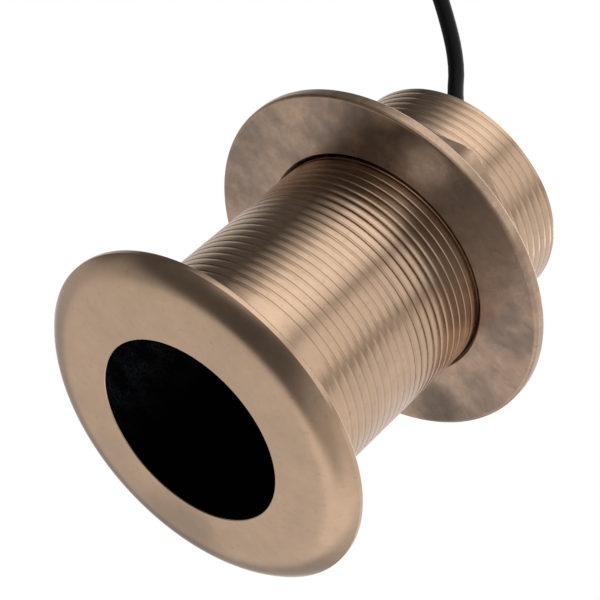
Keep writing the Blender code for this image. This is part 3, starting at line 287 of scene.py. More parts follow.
# Heights along the plug
GRIP_LOW = PLUG_TAPER_LENGTH + PLUG_SHOULDER
GRIP_HIGH = GRIP_LOW + PLUG_GRIP_LENGTH
SHELL_SEAT = GRIP_HIGH - PLUG_SHELL_SEAT
SHELL_LOW = SHELL_SEAT + PLUG_FIT
SHELL_HIGH = GRIP_HIGH + PLUG_SHELL_REACH
INSERT_HIGH = SHELL_LOW + PLUG_INSERT_HEIGHT
RING_HEIGHT = GRIP_HIGH + PLUG_SEAL_RADIUS + PLUG_FIT

# Camera, from the photograph's fitted view
CAMERA_PLACE = Vector((-4.587, -340.664, -208.978)) * MM
CAMERA_RIGHT = Vector((0.66309, -0.44154, 0.60445))
CAMERA_UP = Vector((-0.74854, -0.39113, 0.53545))
CAMERA_LENS = 127.27
SENSOR_WIDTH = 36.0
CAMERA_CLIP = (0.01, 20)

# Studio: brightness round the horizon above, at and below eye level, by compass angle from +X in degrees
HIGH_RING = (
    (0, 0.92), (60, 0.86), (100, 0.80), (122, 0.72), (140, 0.46), (156, 0.10), (188, 0.10), (209, 0.52),
    (222, 1.30), (248, 1.46), (262, 1.18), (271, 0.40), (281, 1.00), (306, 1.02), (320, 0.36), (333, 0.86),
    (360, 0.92),
)
EYE_RING = (
    (0, 0.80), (30, 0.66), (60, 0.42), (100, 0.42), (130, 0.50), (152, 0.10), (206, 0.08), (230, 0.60),
    (252, 0.80), (270, 0.40), (290, 0.70), (318, 0.50), (340, 0.72), (360, 0.80),
)
LOW_RING = (
    (0, 0.90), (25, 1.05), (50, 1.05), (74, 0.80), (92, 0.74), (120, 0.72), (150, 0.40), (168, 0.10),
    (206, 0.14), (218, 0.50), (232, 0.90), (246, 0.80), (260, 0.45), (270, 0.24), (284, 0.34), (300, 0.48),
    (320, 0.60), (345, 0.76), (360, 0.90),
)
OVERHEAD_LEVEL = 0.70
UNDER_LEFT_LEVEL = 0.10
UNDER_RIGHT_LEVEL = 0.46

# Where one part of the studio fades into the next, as parts of a direction of length 1
LOW_TO_EYE = (-0.42, -0.16)
EYE_TO_HIGH = (0.16, 0.42)
HIGH_TO_OVERHEAD = (0.78, 0.97)
LOW_TO_UNDER = (0.60, 0.78)
BACK_TO_FRONT = (-0.42, -0.02)
UNDER_LEFT_TO_RIGHT = (0.10, 0.50)

# Floor, backdrop and lamp
FLOOR_DROP = 0.3 * MM
FLOOR_RADIUS = 2.5
FLOOR_FADE = (0.35, 1.4)
FLOOR_PAPER_SCALE = 60
FLOOR_GREYS = [(0.0, 0.84), (1.0, 0.88)]
FLOOR_ROUGHNESS = 0.9
WHITE = (1.0, 1.0, 1.0)
LAMP_PLACE = Vector((0.12, 0.25, 1.25))
LAMP_TARGET = Vector((0, 0, 0.04))
LAMP_SIZE = 1.1
LAMP_POWER = 5.0


def link(obj):
    bpy.context.scene.collection.objects.link(obj)
    return obj


def piece(name, mesh, material, nodes, place=None, sharp=SHARP_DEGREES):
    """One finished piece of the object, which rides on its body and stands for the named solids."""
    mesh.shade_smooth()
    mesh.set_sharp_from_angle(angle=math.radians(sharp))
    mesh.materials.append(material)
    obj = link(bpy.data.objects.new(name, mesh))
    if place:
        obj.matrix_world = place
    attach(obj, "root")
    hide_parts(*nodes)
    return obj


def arc(centre, radius, start, end, points):
    """A profile's round stretch, as (radius, height) pairs, with angles in degrees."""
    made = []
    for i in range(points + 1):
        angle = math.radians(start + (end - start) * i / points)
        made.append((centre[0] + radius * math.cos(angle), centre[1] + radius * math.sin(angle)))
    return made


def ring_of(bm, radius_at, height, steps):
    """Vertices of one level ring, whose radius may change with the angle."""
    made = []
    for i in range(steps):
        angle = TURN * i / steps
        radius = radius_at(angle) if callable(radius_at) else radius_at
        made.append(bm.verts.new((radius * math.cos(angle), radius * math.sin(angle), height)))
    return made


def bridge(bm, lower, upper):
    for i in range(len(lower)):
        j = (i + 1) % len(lower)
        bm.faces.new((lower[i], lower[j], upper[j], upper[i]))


def turned_mesh(name, profile, steps=ROUND_STEPS, ring=False):
    """A turned piece. A profile point is (radius, height), and a radius may be a function of the angle."""
    bm = bmesh.new()
    rows = []
    for radius, height in profile:
        if not callable(radius) and radius < TOUCHING:
            rows.append([bm.verts.new((0, 0, height))])
        else:
            rows.append(ring_of(bm, radius, height, steps))
    pairs = list(zip(rows, rows[1:]))
    if ring:
        pairs.append((rows[-1], rows[0]))
    for here, there in pairs:
        if len(here) == 1 or len(there) == 1:
            tip, rim = (here[0], there) if len(here) == 1 else (there[0], here)
            for i in range(len(rim)):
                bm.faces.new((tip, rim[i], rim[(i + 1) % len(rim)]))
        else:
            bridge(bm, here, there)
    return finished(bm, name)


def finished(bm, name):
    bmesh.ops.recalc_face_normals(bm, faces=bm.faces)
    mesh = bpy.data.meshes.new(name)
    bm.to_mesh(mesh)
    bm.free()
    return mesh


def ease(share):
    share = min(1.0, max(0.0, share))
    return share * share * (3 - 2 * share)


def groove_depth(share):
    """The thread's depth below its crest, where share runs over one pitch from a groove's root."""
    away = min(1.0, share / GROOVE_STEEP_SHARE, (1 - share) / GROOVE_GENTLE_SHARE)
    valley = GROOVE_DEPTH * (0.5 + 0.5 * math.cos(math.pi * away))
    return valley + CREST_CROWN * (1 - min(share, 1 - share) / 0.5)


def stem_radius(height, angle):
    """The stem's outer radius, with its right-hand thread, run-out and end chamfer."""
    turns = (height - THREAD_START) / THREAD_PITCH
    share = (turns - angle / TURN) % 1.0
    depth = groove_depth(share) * ease(0.5 + turns / THREAD_FADE_TURNS / 2)
    end = STEM_RADIUS - max(0.0, height - (STEM_TOP - STEM_CHAMFER))
    return min(STEM_RADIUS - depth, end)


def threaded_wall(bm, radius_at, low, high, steps=ROUND_STEPS):
    """A wall whose rows follow the thread, trimmed flat at both ends. Returns its lowest and highest ring."""
    first = math.floor((low - THREAD_START) / THREAD_PITCH) - 1
    last = math.ceil((high - THREAD_START) / THREAD_PITCH) + 1
    levels = [first + k + share for k in range(last - first) for share in PROFILE_SHARES]
    columns = []
    for i in range(steps + 1):
        angle = TURN * i / steps
        column = []
        for level in levels:
            height = THREAD_START + THREAD_PITCH * (level + i / steps)
            height = low if height < low + SNAP else height
            height = high if height > high - SNAP else height
            radius = radius_at(height, angle % TURN)
            column.append(bm.verts.new((radius * math.cos(angle), radius * math.sin(angle), height)))
        columns.append(column)
    for here, there in zip(columns, columns[1:]):
        for j in range(len(levels) - 1):
            bm.faces.new((here[j], there[j], there[j + 1], here[j + 1]))
    bmesh.ops.remove_doubles(bm, verts=bm.verts, dist=SNAP / 2)
    rings = []
    for height in (low, high):
        ring = [v for v in bm.verts if abs(v.co.z - height) < TOUCHING]
        ring.sort(key=lambda v: math.atan2(v.co.y, v.co.x) % TURN)
        rings.append(ring)
    return rings


def add_turned(bm, start, profile, steps=ROUND_STEPS):
    """Carries a ring on through the profile's rings, and returns the last one."""
    here = start
    for radius, height in profile:
        there = ring_of(bm, radius, height, steps)
        bridge(bm, here, there)
        here = there
    return here


def make_housing(material):
    """The housing: a domed head with a rounded rim, a neck fillet and a threaded stem with a bore."""
    bm = bmesh.new()
    low, high = threaded_wall(bm, stem_radius, NECK_TOP, STEM_TOP)
    dome = []
    for i in range(DOME_POINTS + 1):
        share = max(0.0, math.cos(math.pi / 2 * i / DOME_POINTS))
        radius = FACE_FLAT_RADIUS + (HEAD_RADIUS - FACE_FLAT_RADIUS) * share
        dome.append((radius, DOME_RISE * share**DOME_POWER))
    outside = [
        *arc((STEM_RADIUS + NECK_FILLET, HEAD_BACK + NECK_FILLET), NECK_FILLET, 180, 270, points=8),
        (HEAD_RADIUS - RIM_ROUND * 2, HEAD_BACK),
        *arc((HEAD_RADIUS - RIM_ROUND, HEAD_BACK - RIM_ROUND), RIM_ROUND, 90, 0, points=6),
        *dome,
        (BORE_RADIUS + BORE_EDGE * 4, 0),
        (BORE_RADIUS + BORE_EDGE, 0),
        (BORE_RADIUS, BORE_EDGE),
        (BORE_RADIUS, WINDOW_DEPTH * 2),
    ]
    inside = [
        (BORE_RADIUS + TOP_EDGE, STEM_TOP),
        (BORE_RADIUS, STEM_TOP - TOP_EDGE),
        (BORE_RADIUS, POUR_TOP),
    ]
    foot = add_turned(bm, low, outside)
    mouth = add_turned(bm, high, inside)
    bridge(bm, foot, mouth)
    mesh = finished(bm, "bronze_housing")
    piece("bronze_housing", mesh, material, ["housing"], sharp=BRONZE_SHARP_DEGREES)


def hex_radius(angle):
    """The hub's outline: flats, with a small round at each corner."""
    step = TURN / HUB_SIDES
    away = abs((angle - HUB_TURN) % step - step / 2)
    return min(HUB_FLATS_RADIUS / math.cos(away), HUB_CORNER_RADIUS - HUB_CORNER_ROUND)


def make_nut(material):
    """The hull nut: a threaded bore, a flange with a rounded rim and a hexagonal hub."""
    sink = STEM_RADIUS + NUT_COUNTERSINK

    def bore(height, angle):
        radius = stem_radius_endless(height, angle) + NUT_BORE_GAP
        cone = sink - min(height - NUT_FACE, NUT_BACK - height)
        return max(radius, cone)

    bm = bmesh.new()
    low, high = threaded_wall(bm, bore, NUT_FACE, NUT_BACK, NUT_STEPS)
    rim_low = NUT_FACE + NUT_EDGE
    rim_back = rim_low + NUT_RIM_HEIGHT
    hub_base = rim_back + NUT_BACK_ROUND + NUT_BACK_RISE
    out, up = (HUB_FILLET * share for share in HUB_FILLET_MIDDLE)

    def chamfered(drop):
        reach = HUB_CORNER_RADIUS - HUB_CORNER_ROUND - HUB_CHAMFER_SLOPE * (HUB_CHAMFER - drop)
        return lambda angle: min(hex_radius(angle), reach)

    flange = [
        (FLANGE_RADIUS - NUT_EDGE - NUT_FACE_BORDER, NUT_FACE),
        *arc((FLANGE_RADIUS - NUT_EDGE, rim_low), NUT_EDGE, -90, 0, points=12),
        *arc((FLANGE_RADIUS - NUT_BACK_ROUND, rim_back), NUT_BACK_ROUND, 0, 80, points=6),
        (HUB_CORNER_RADIUS + HUB_BORDER, hub_base - HUB_FILLET / 2),
        (lambda angle: hex_radius(angle) + HUB_FILLET, hub_base),
        (lambda angle: hex_radius(angle) + out, hub_base + up),
        (hex_radius, hub_base + HUB_FILLET),
        *[(hex_radius, NUT_BACK - HUB_CHAMFER * row) for row in HUB_SIDE_ROWS],
        *[(chamfered(HUB_CHAMFER * row), NUT_BACK - HUB_CHAMFER * row) for row in HUB_CHAMFER_ROWS],
    ]
    last = add_turned(bm, low, flange, NUT_STEPS)
    bridge(bm, last, high)
    mesh = finished(bm, "bronze_hull_nut")
    piece("bronze_hull_nut", mesh, material, ["hull_nut"], sharp=BRONZE_SHARP_DEGREES)


def stem_radius_endless(height, angle):
    """The threaded stem without its run-out or end, which the nut's thread follows."""
    share = ((height - THREAD_START) / THREAD_PITCH - angle / TURN) % 1.0
    return STEM_RADIUS - groove_depth(share)


def make_window(material):
    """The acoustic window: a disc flush in the head, with a softened edge."""
    radius = BORE_RADIUS - WINDOW_GAP
    profile = [
        (0, WINDOW_DEPTH),
        (radius, WINDOW_DEPTH),
        (radius, WINDOW_EDGE),
        *arc((radius - WINDOW_EDGE, WINDOW_EDGE), WINDOW_EDGE, 0, -90, points=4),
        *[(radius * share, 0) for share in WINDOW_ROWS],
    ]
    piece("window_face", turned_mesh("window_face", profile), material, ["acoustic_window"])


def make_resin(material):
    """The resin's top, which climbs a little where it wets the bore and the seal."""
    outer = BORE_RADIUS - WINDOW_GAP
    inner = SEAL_BASE_RADIUS + WINDOW_GAP
    foot = POUR_TOP - RESIN_DEPTH
    wetted = [(MENISCUS * row, POUR_TOP - MENISCUS_FALL * (1 - (1 - row) ** 2)) for row in MENISCUS_ROWS]
    wetted.append((LEVEL_START, POUR_TOP - LEVEL_FALL))
    profile = [
        (inner, foot),
        (inner, POUR_TOP),
        *[(inner + away, height) for away, height in wetted],
        *[(outer - away, height) for away, height in reversed(wetted)],
        (outer, POUR_TOP),
        (outer, foot),
    ]
    mesh = turned_mesh("resin_top", profile, ring=True)
    piece("resin_top", mesh, material, ["potting_upper"])


def make_seal(material):
    """The rubber seal round the cable: a low base in the resin and a tapered neck."""
    bore = CABLE_RADIUS + WINDOW_GAP
    foot = POUR_TOP - RESIN_DEPTH
    base = POUR_TOP + SEAL_BASE_RISE
    profile = [
        (bore, foot),
        (SEAL_BASE_RADIUS, foot),
        (SEAL_BASE_RADIUS, base),
        *arc((SEAL_BASE_RADIUS - SEAL_BASE_ROUND, base), SEAL_BASE_ROUND, 0, 70, points=5),
        (SEAL_TOP_RADIUS + SEAL_TOP_FLARE, SEAL_TOP - SEAL_TOP_DROP),
        *arc((SEAL_TOP_RADIUS - SEAL_TOP_ROUND, SEAL_TOP - SEAL_TOP_ROUND), SEAL_TOP_ROUND, 20, 90, points=4),
        (bore, SEAL_TOP),
    ]
    mesh = turned_mesh("seal_boot", profile, SEAL_STEPS, ring=True)
    piece("seal_boot", mesh, material, ["cable_seal"])


def smooth_route(points, spacing):
    """Evenly spaced points on a smooth curve through the route's own points."""
    route = [Vector(point) for point in points]
    route = [2 * route[0] - route[1], *route, 2 * route[-1] - route[-2]]
    fine = []
    for before, start, end, after in zip(route, route[1:], route[2:], route[3:]):
        for i in range(ROUTE_STEPS):
            t = i / ROUTE_STEPS
            fine.append(
                start
                + t * (end - before) / 2
                + t**2 * (2 * before - 5 * start + 4 * end - after) / 2
                + t**3 * (3 * start - before - 3 * end + after) / 2
            )
    fine.append(route[-2])
    lengths = [0.0]
    for here, there in zip(fine, fine[1:]):
        lengths.append(lengths[-1] + (there - here).length)
    count = max(2, round(lengths[-1] / spacing))
    even = []
    at = 0
    for i in range(count + 1):
        wanted = lengths[-1] * i / count
        while at < len(fine) - 2 and lengths[at + 1] < wanted:
            at += 1
        share = (wanted - lengths[at]) / (lengths[at + 1] - lengths[at])
        even.append(fine[at].lerp(fine[at + 1], share))
    return even


def slot_of(turn):
    """(radius, height) of one turn of the coil. Rows fill in and out by turns, each staggered on the last."""
    row, place = divmod(turn, COIL_COLUMNS)
    column = place if row % 2 else COIL_COLUMNS - 1 - place
    stagger = -ROW_STAGGER if row % 2 else ROW_STAGGER
    radius = COIL_MEAN_RADIUS + (column - (COIL_COLUMNS - 1) / 2 + stagger) * TURN_SPACING
    return radius, COIL_TOP - CABLE_RADIUS - row * ROW_SPACING


def on_coil(angle, radius, height):
    return Vector((COIL_X + radius * math.cos(angle), radius * math.sin(angle), height))


def polar(point):
    """(angle, radius) of a point about the coil's middle."""
    away = point - Vector((COIL_X, 0, 0))
    return math.atan2(away.y, away.x), math.hypot(away.x, away.y)


def coil_points():
    """The cable from where it lands on the coil to where it leaves it for the plug."""
    points = []
    land = Vector(CABLE_ROUTE[-1])
    land_angle, land_radius = polar(land)
    outer, top = slot_of(0)
    lift = land.z - top
    step = TURN / POINTS_PER_TURN
    turns = COIL_COLUMNS * COIL_ROWS
    last_angle = CROSSING_END + TURN * (turns - 1) + LEAVE_TURN
    angle = land_angle + step / 2
    while angle < last_angle:
        turn = max(0, math.floor((angle - CROSSING_END) / TURN))
        radius, height = slot_of(turn)
        past = angle - CROSSING_END - TURN * turn
        crossing = past - (TURN - (CROSSING_END - CROSSING_START))
        if angle > CROSSING_END and crossing > 0 and turn < turns - 1:
            share = ease(crossing / (CROSSING_END - CROSSING_START))
            after = slot_of(turn + 1)
            radius += share * (after[0] - radius)
            height += share * (after[1] - height)
        if angle < JOIN_END:
            left = 1 - (angle - land_angle) / (JOIN_END - land_angle)
            radius = outer + (land_radius - outer) * left * left
        if angle < DROP_END:
            height = top + lift * (1 - ease((angle - CROSSING_END) / (DROP_END - CROSSING_END)))
        points.append(on_coil(angle, radius, height))
        angle += step
    away = Vector(LEAD_ROUTE[0])
    leave_radius, leave_height = slot_of(turns - 1)
    away_angle, away_radius = polar(away)
    sweep = (away_angle - last_angle) % TURN
    count = round(sweep / step)
    for i in range(count):
        share = ease(i / count)
        angle = last_angle + sweep * i / count
        radius = leave_radius + (away_radius - leave_radius) * share
        points.append(on_coil(angle, radius, leave_height + (away.z - leave_height) * share))
    return points


def make_cable(material):
    """The whole cable as one open spline: its run, its coil and its lead to the plug."""
    run = smooth_route(CABLE_ROUTE, CABLE_SPACING)
    points = run + coil_points() + smooth_route(LEAD_ROUTE, CABLE_SPACING)
    curve = bpy.data.curves.new("cable", "CURVE")
    curve.dimensions = "3D"
    curve.bevel_depth = CABLE_RADIUS
    curve.bevel_resolution = CABLE_ROUNDNESS
    curve.use_fill_caps = True
    spline = curve.splines.new("POLY")
    spline.points.add(len(points) - 1)
    for at, point in zip(spline.points, points):
        at.co = (*point, 1)
    spline.use_smooth = True
    curve.materials.append(material)
    cable = link(bpy.data.objects.new("cable", curve))
    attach(cable, "root")
    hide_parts("cable_run", "cable_coil", "cable_lead")
    return cable


def rounded_loop(width, height, edge, points):
    """Points of a rounded rectangle, counter-clockwise, as (x, z) pairs."""
    half_x = width / 2 - edge
    half_z = height / 2 - edge
    corners = [(half_x, half_z), (-half_x, half_z), (-half_x, -half_z), (half_x, -half_z)]
    made = []
    for quarter, corner in enumerate(corners):
        made += arc(corner, edge, 90 * quarter, 90 * (quarter + 1), points)
    return made


def make_tie(number, angle, material):
    """A nylon strap round the coil: a flat band with soft edges, its locking head and its cut tail."""
    width = (COIL_COLUMNS - 0.5) * TURN_SPACING + 2 * CABLE_RADIUS + 2 * TIE_GAP
    height = COIL_TOP - COIL_LOW + 2 * TIE_GAP
    bm = bmesh.new()
    half = TIE_WIDTH / 2
    inset = half - TIE_EDGE
    back = TIE_THICKNESS - TIE_EDGE
    section = [
        (0, -inset), (TIE_EDGE, -half), (back, -half), (TIE_THICKNESS, -inset),
        (TIE_THICKNESS, inset), (back, half), (TIE_EDGE, half), (0, inset),
    ]
    rings = []
    for grow, across in section:
        loop = rounded_loop(width + 2 * grow, height + 2 * grow, TIE_ROUND + grow, points=8)
        rings.append([bm.verts.new((x, across, z)) for x, z in loop])
    for here, there in zip(rings, rings[1:] + rings[:1]):
        bridge(bm, here, there)
    head_z = height / 2 + TIE_THICKNESS / 2 + TIE_HEAD[2] / 2
    add_box(bm, TIE_HEAD, (0, 0, head_z), TIE_HEAD_EDGE)
    tail_place = (TIE_HEAD[0] / 2 + TIE_TAIL_OUT, 0, head_z + TIE_TAIL_LIFT)
    add_box(bm, TIE_TAIL, tail_place, TIE_TAIL_EDGE)
    out = Vector((math.cos(angle), math.sin(angle), 0))
    centre = Vector((COIL_X, 0, (COIL_TOP + COIL_LOW) / 2)) + COIL_MEAN_RADIUS * out
    place = Matrix.Translation(centre) @ Matrix.Rotation(angle, 4, "Z")
    name = f"tie_{number}"
    return piece(name, finished(bm, name), material, [f"coil_tie_{number}"], place)


def add_box(bm, size, centre, edge):
    """A box with rounded edges, added to the mesh that is being built."""
    made = bmesh.ops.create_cube(bm, size=1, matrix=Matrix.Translation(centre) @ Matrix.Diagonal((*size, 1)))
    edges = {e for v in made["verts"] for e in v.link_edges}
    bmesh.ops.bevel(bm, geom=list(edges), offset=edge, segments=3, profile=0.5, affect="EDGES")


def plug_place():
    """Where the plug lies: its rear face at the lead's end, along the lead's last direction."""
    rear = Vector(LEAD_ROUTE[-1])
    along = rear - Vector(LEAD_ROUTE[-2])
    along.z = 0
    along.normalize()
    start = rear + PLUG_FIT * along
    start.z = PLUG_GRIP_RADIUS + PLUG_FLOOR_GAP
    return Matrix.Translation(start) @ along.to_track_quat("Z", "Y").to_matrix().to_4x4()


def grip_profile():
    """The moulded grip: a tapered tail, a ribbed body and the pocket that the shell sits in."""
    valley = PLUG_GRIP_RADIUS - PLUG_RIB_DEPTH
    pitch = PLUG_GRIP_LENGTH / (PLUG_RIBS + 1)
    ribs = []
    for i in range(1, PLUG_RIBS + 1):
        for row in range(PLUG_RIB_ROWS + 1):
            share = row / PLUG_RIB_ROWS
            dip = PLUG_RIB_DEPTH * math.sin(math.pi * share) ** 2
            ribs.append((PLUG_GRIP_RADIUS - dip, GRIP_LOW + pitch * (i + (share - 0.5) * PLUG_RIB_SHARE)))
    return [
        (0, 0),
        (PLUG_REAR_RADIUS - PLUG_REAR_EDGE, 0),
        *arc((PLUG_REAR_RADIUS - PLUG_REAR_EDGE, PLUG_REAR_EDGE), PLUG_REAR_EDGE, -90, 0, points=4),
        (PLUG_REAR_RADIUS + PLUG_TAPER_SWELL, PLUG_TAPER_LENGTH / 2),
        (PLUG_TAPER_RADIUS, PLUG_TAPER_LENGTH),
        *arc((PLUG_GRIP_RADIUS - PLUG_GRIP_ROUND, GRIP_LOW), PLUG_GRIP_ROUND, -60, 0, points=5),
        *ribs,
        (PLUG_GRIP_RADIUS, GRIP_HIGH - PLUG_RIB_DEPTH),
        *arc((valley, GRIP_HIGH - PLUG_RIB_DEPTH), PLUG_RIB_DEPTH, 0, 90, points=4),
        (PLUG_SHELL_RADIUS + PLUG_FIT, GRIP_HIGH),
        (PLUG_SHELL_RADIUS + PLUG_FIT, SHELL_SEAT),
        (0, SHELL_SEAT),
    ]


def shell_profile(inner, groove):
    """The metal shell: a sleeve with a groove for the sealing ring and a rounded lip."""
    half = PLUG_SEAL_RADIUS + PLUG_FIT / 2
    return [
        (inner, SHELL_LOW),
        (PLUG_SHELL_RADIUS, SHELL_LOW),
        (PLUG_SHELL_RADIUS, RING_HEIGHT - half),
        (groove, RING_HEIGHT - half),
        (groove, RING_HEIGHT + half),
        (PLUG_SHELL_RADIUS, RING_HEIGHT + half),
        (PLUG_SHELL_RADIUS, SHELL_HIGH - PLUG_LIP),
        *arc((PLUG_SHELL_RADIUS - PLUG_LIP, SHELL_HIGH - PLUG_LIP), PLUG_LIP, 0, 90, points=4),
        (inner + PLUG_LIP, SHELL_HIGH),
        (inner, SHELL_HIGH - PLUG_LIP),
    ]


def make_plug(jacket, nickel, insert_plastic, brass, rubber):
    """The moulded plug: ribbed grip, metal shell, insert, pins and sealing ring."""
    place = plug_place()
    inner = PLUG_SHELL_RADIUS - PLUG_SHELL_WALL
    groove = PLUG_SHELL_RADIUS - PLUG_SEAL_SEAT
    mesh = turned_mesh("plug_grip", grip_profile(), PLUG_STEPS)
    pieces = [piece("plug_grip", mesh, jacket, ["plug_body"], place)]
    mesh = turned_mesh("plug_barrel", shell_profile(inner, groove), PLUG_STEPS, ring=True)
    pieces.append(piece("plug_barrel", mesh, nickel, ["plug_shell"], place))
    core = inner - PLUG_FIT
    profile = [
        (0, SHELL_LOW),
        (core, SHELL_LOW),
        (core, INSERT_HIGH - PLUG_LIP),
        (core - PLUG_LIP, INSERT_HIGH),
        (0, INSERT_HIGH),
    ]
    mesh = turned_mesh("plug_core", profile, INSERT_STEPS)
    pieces.append(piece("plug_core", mesh, insert_plastic, ["plug_insert"], place))
    low = INSERT_HIGH - PLUG_LIP
    high = INSERT_HIGH + PLUG_PIN_REACH
    tip = arc((0, high - PLUG_PIN_RADIUS), PLUG_PIN_RADIUS, 0, 90, points=4)
    profile = [(0, low), (PLUG_PIN_RADIUS, low), *tip[:-1], (0, high)]
    for i in range(PLUG_PINS):
        angle = TURN * i / PLUG_PINS
        spot = Matrix.Translation((PLUG_PIN_CIRCLE * math.cos(angle), PLUG_PIN_CIRCLE * math.sin(angle), 0))
        name = f"contact_{i + 1}"
        mesh = turned_mesh(name, profile, PIN_STEPS)
        pieces.append(piece(name, mesh, brass, [f"plug_pin_{i + 1}"], place @ spot))
    ring = arc((groove + PLUG_SEAL_RADIUS, RING_HEIGHT), PLUG_SEAL_RADIUS, 0, 360, points=12)[:-1]
    mesh = turned_mesh("plug_ring", ring, PLUG_STEPS, ring=True)
    pieces.append(piece("plug_ring", mesh, rubber, ["plug_seal"], place))
    return pieces


class Nodes:
    """A short way to write the nodes of a material or of the world."""

    def __init__(self, owner):
        owner.use_nodes = True
        self.owner = owner
        self.tree = owner.node_tree
        self.coordinates = self.add("TexCoord").outputs
        self.place = self.coordinates["Object"]

    def add(self, kind, inputs=None, **settings):
        """A new node, with each of its named inputs joined to a socket or set to a value."""
        node = self.tree.nodes.new("ShaderNode" + kind)
        for name, value in settings.items():
            setattr(node, name, value)
        for name, value in (inputs or {}).items():
            self.feed(node.inputs[name], value)
        return node

    def feed(self, socket, value):
        if isinstance(value, bpy.types.NodeSocket):
            self.tree.links.new(value, socket)
        elif socket.type == "RGBA":
            socket.default_value = (*value, 1)
        else:
            socket.default_value = value

    def noise(self, scale, detail=3.0, roughness=0.55, vector=None, distortion=0.0):
        """Soft noise, whose scale is its number of features a metre."""
        inputs = {"Scale": scale, "Detail": detail, "Roughness": roughness, "Distortion": distortion}
        return self.add("TexNoise", {"Vector": vector or self.place, **inputs}).outputs["Fac"]

    def ramp(self, value, stops, interpolation="LINEAR"):
        """A colour ramp through (place, colour) stops. A colour that is one number is a grey."""
        stops = list(stops)
        node = self.add("ValToRGB", {"Fac": value})
        node.color_ramp.interpolation = interpolation
        elements = node.color_ramp.elements
        while len(elements) < len(stops):
            elements.new(0.5)
        for element, (at, colour) in zip(elements, stops):
            element.position = at
            element.color = (*colour, 1) if isinstance(colour, tuple) else (colour, colour, colour, 1)
        return node.outputs["Color"]

    def math(self, operation, *values, **settings):
        return self.add("Math", dict(enumerate(values)), operation=operation, **settings).outputs[0]

    def mix(self, share, first, second, blend="MIX"):
        node = self.add("Mix", data_type="RGBA", blend_type=blend)
        for socket, value in zip((node.inputs[0], node.inputs[6], node.inputs[7]), (share, first, second)):
            self.feed(socket, value)
        return node.outputs[2]

    def mix_shader(self, share, first, second):
        return self.add("MixShader", {0: share, 1: first, 2: second}).outputs[0]

    def smooth(self, value, zero_at, one_at):
        """A share that goes smoothly from 0 to 1 as the value goes from one limit to the other."""
        inputs = {"Value": value, "From Min": zero_at, "From Max": one_at}
        return self.add("MapRange", inputs, interpolation_type="SMOOTHSTEP").outputs["Result"]

    def length(self, vector):
        return self.add("VectorMath", {0: vector}, operation="LENGTH").outputs["Value"]

    def axis(self, name):
        return self.add("SeparateXYZ", {0: self.place}).outputs[name]

    def stretched(self, scale):
        return self.add("Mapping", {"Vector": self.place, "Scale": scale}).outputs["Vector"]

    def bump(self, height, strength, distance):
        inputs = {"Height": height, "Strength": strength, "Distance": distance}
        return self.add("Bump", inputs).outputs["Normal"]

    def spot(self, cloud, place, core, fade):
        """A ragged-edged patch round a place, as a share that is 1 at its core."""
        away = self.add("VectorMath", {0: self.place, 1: place}, operation="DISTANCE").outputs["Value"]
        ragged = self.math("MULTIPLY_ADD", cloud, SPOT_RAGGED, away)
        return self.smooth(ragged, fade + SPOT_RAGGED / 2, core + SPOT_RAGGED / 2)

    def finish(self, colour, roughness, normal=None, **fixed):
        """Feeds the material's shader. The fixed values are the same all over the surface."""
        inputs = self.tree.nodes["Principled BSDF"].inputs
        self.feed(inputs["Base Color"], colour)
        self.feed(inputs["Roughness"], roughness)
        if normal:
            self.feed(inputs["Normal"], normal)
        for name, value in fixed.items():
            self.feed(inputs[name.replace("_", " ")], value)
        return self.owner


def new_material(name):
    return Nodes(bpy.data.materials.new(name))


def bronze_shades(n, place):
    """The cloud that the tarnish follows, and the tarnished colour in soft blotches."""
    cloud = n.noise(CLOUD_SCALE, detail=2.5, vector=place, distortion=0.2)
    patch = n.noise(PATCH_SCALE, roughness=0.6, vector=place, distortion=0.1)
    tarnish = n.math("MULTIPLY_ADD", patch, PATCH_SHARE, n.math("MULTIPLY", cloud, 1 - PATCH_SHARE))
    return cloud, n.ramp(tarnish, TARNISH)


def nut_wear_and_shade(n):
    """How clean the nut is, on its rim and hub, and how much painted shade darkens its countersink, where it
    meets the stem, as shares.
    """
    reach = n.length(n.stretched((1, 1, 0)))
    rim = n.smooth(reach, FLANGE_RADIUS - WORN_BORDER, FLANGE_RADIUS - CLEAN_BORDER)
    hub = n.math("GREATER_THAN", n.axis("Z"), NUT_FACE + NUT_EDGE)
    # Painted shade: 1 in the countersink, where the nut meets the stem
    countersink_shade = n.smooth(reach, STEM_RADIUS + NUT_COUNTERSINK, STEM_RADIUS + NUT_COUNTERSINK / 4)
    return n.math("MAXIMUM", rim, hub), countersink_shade


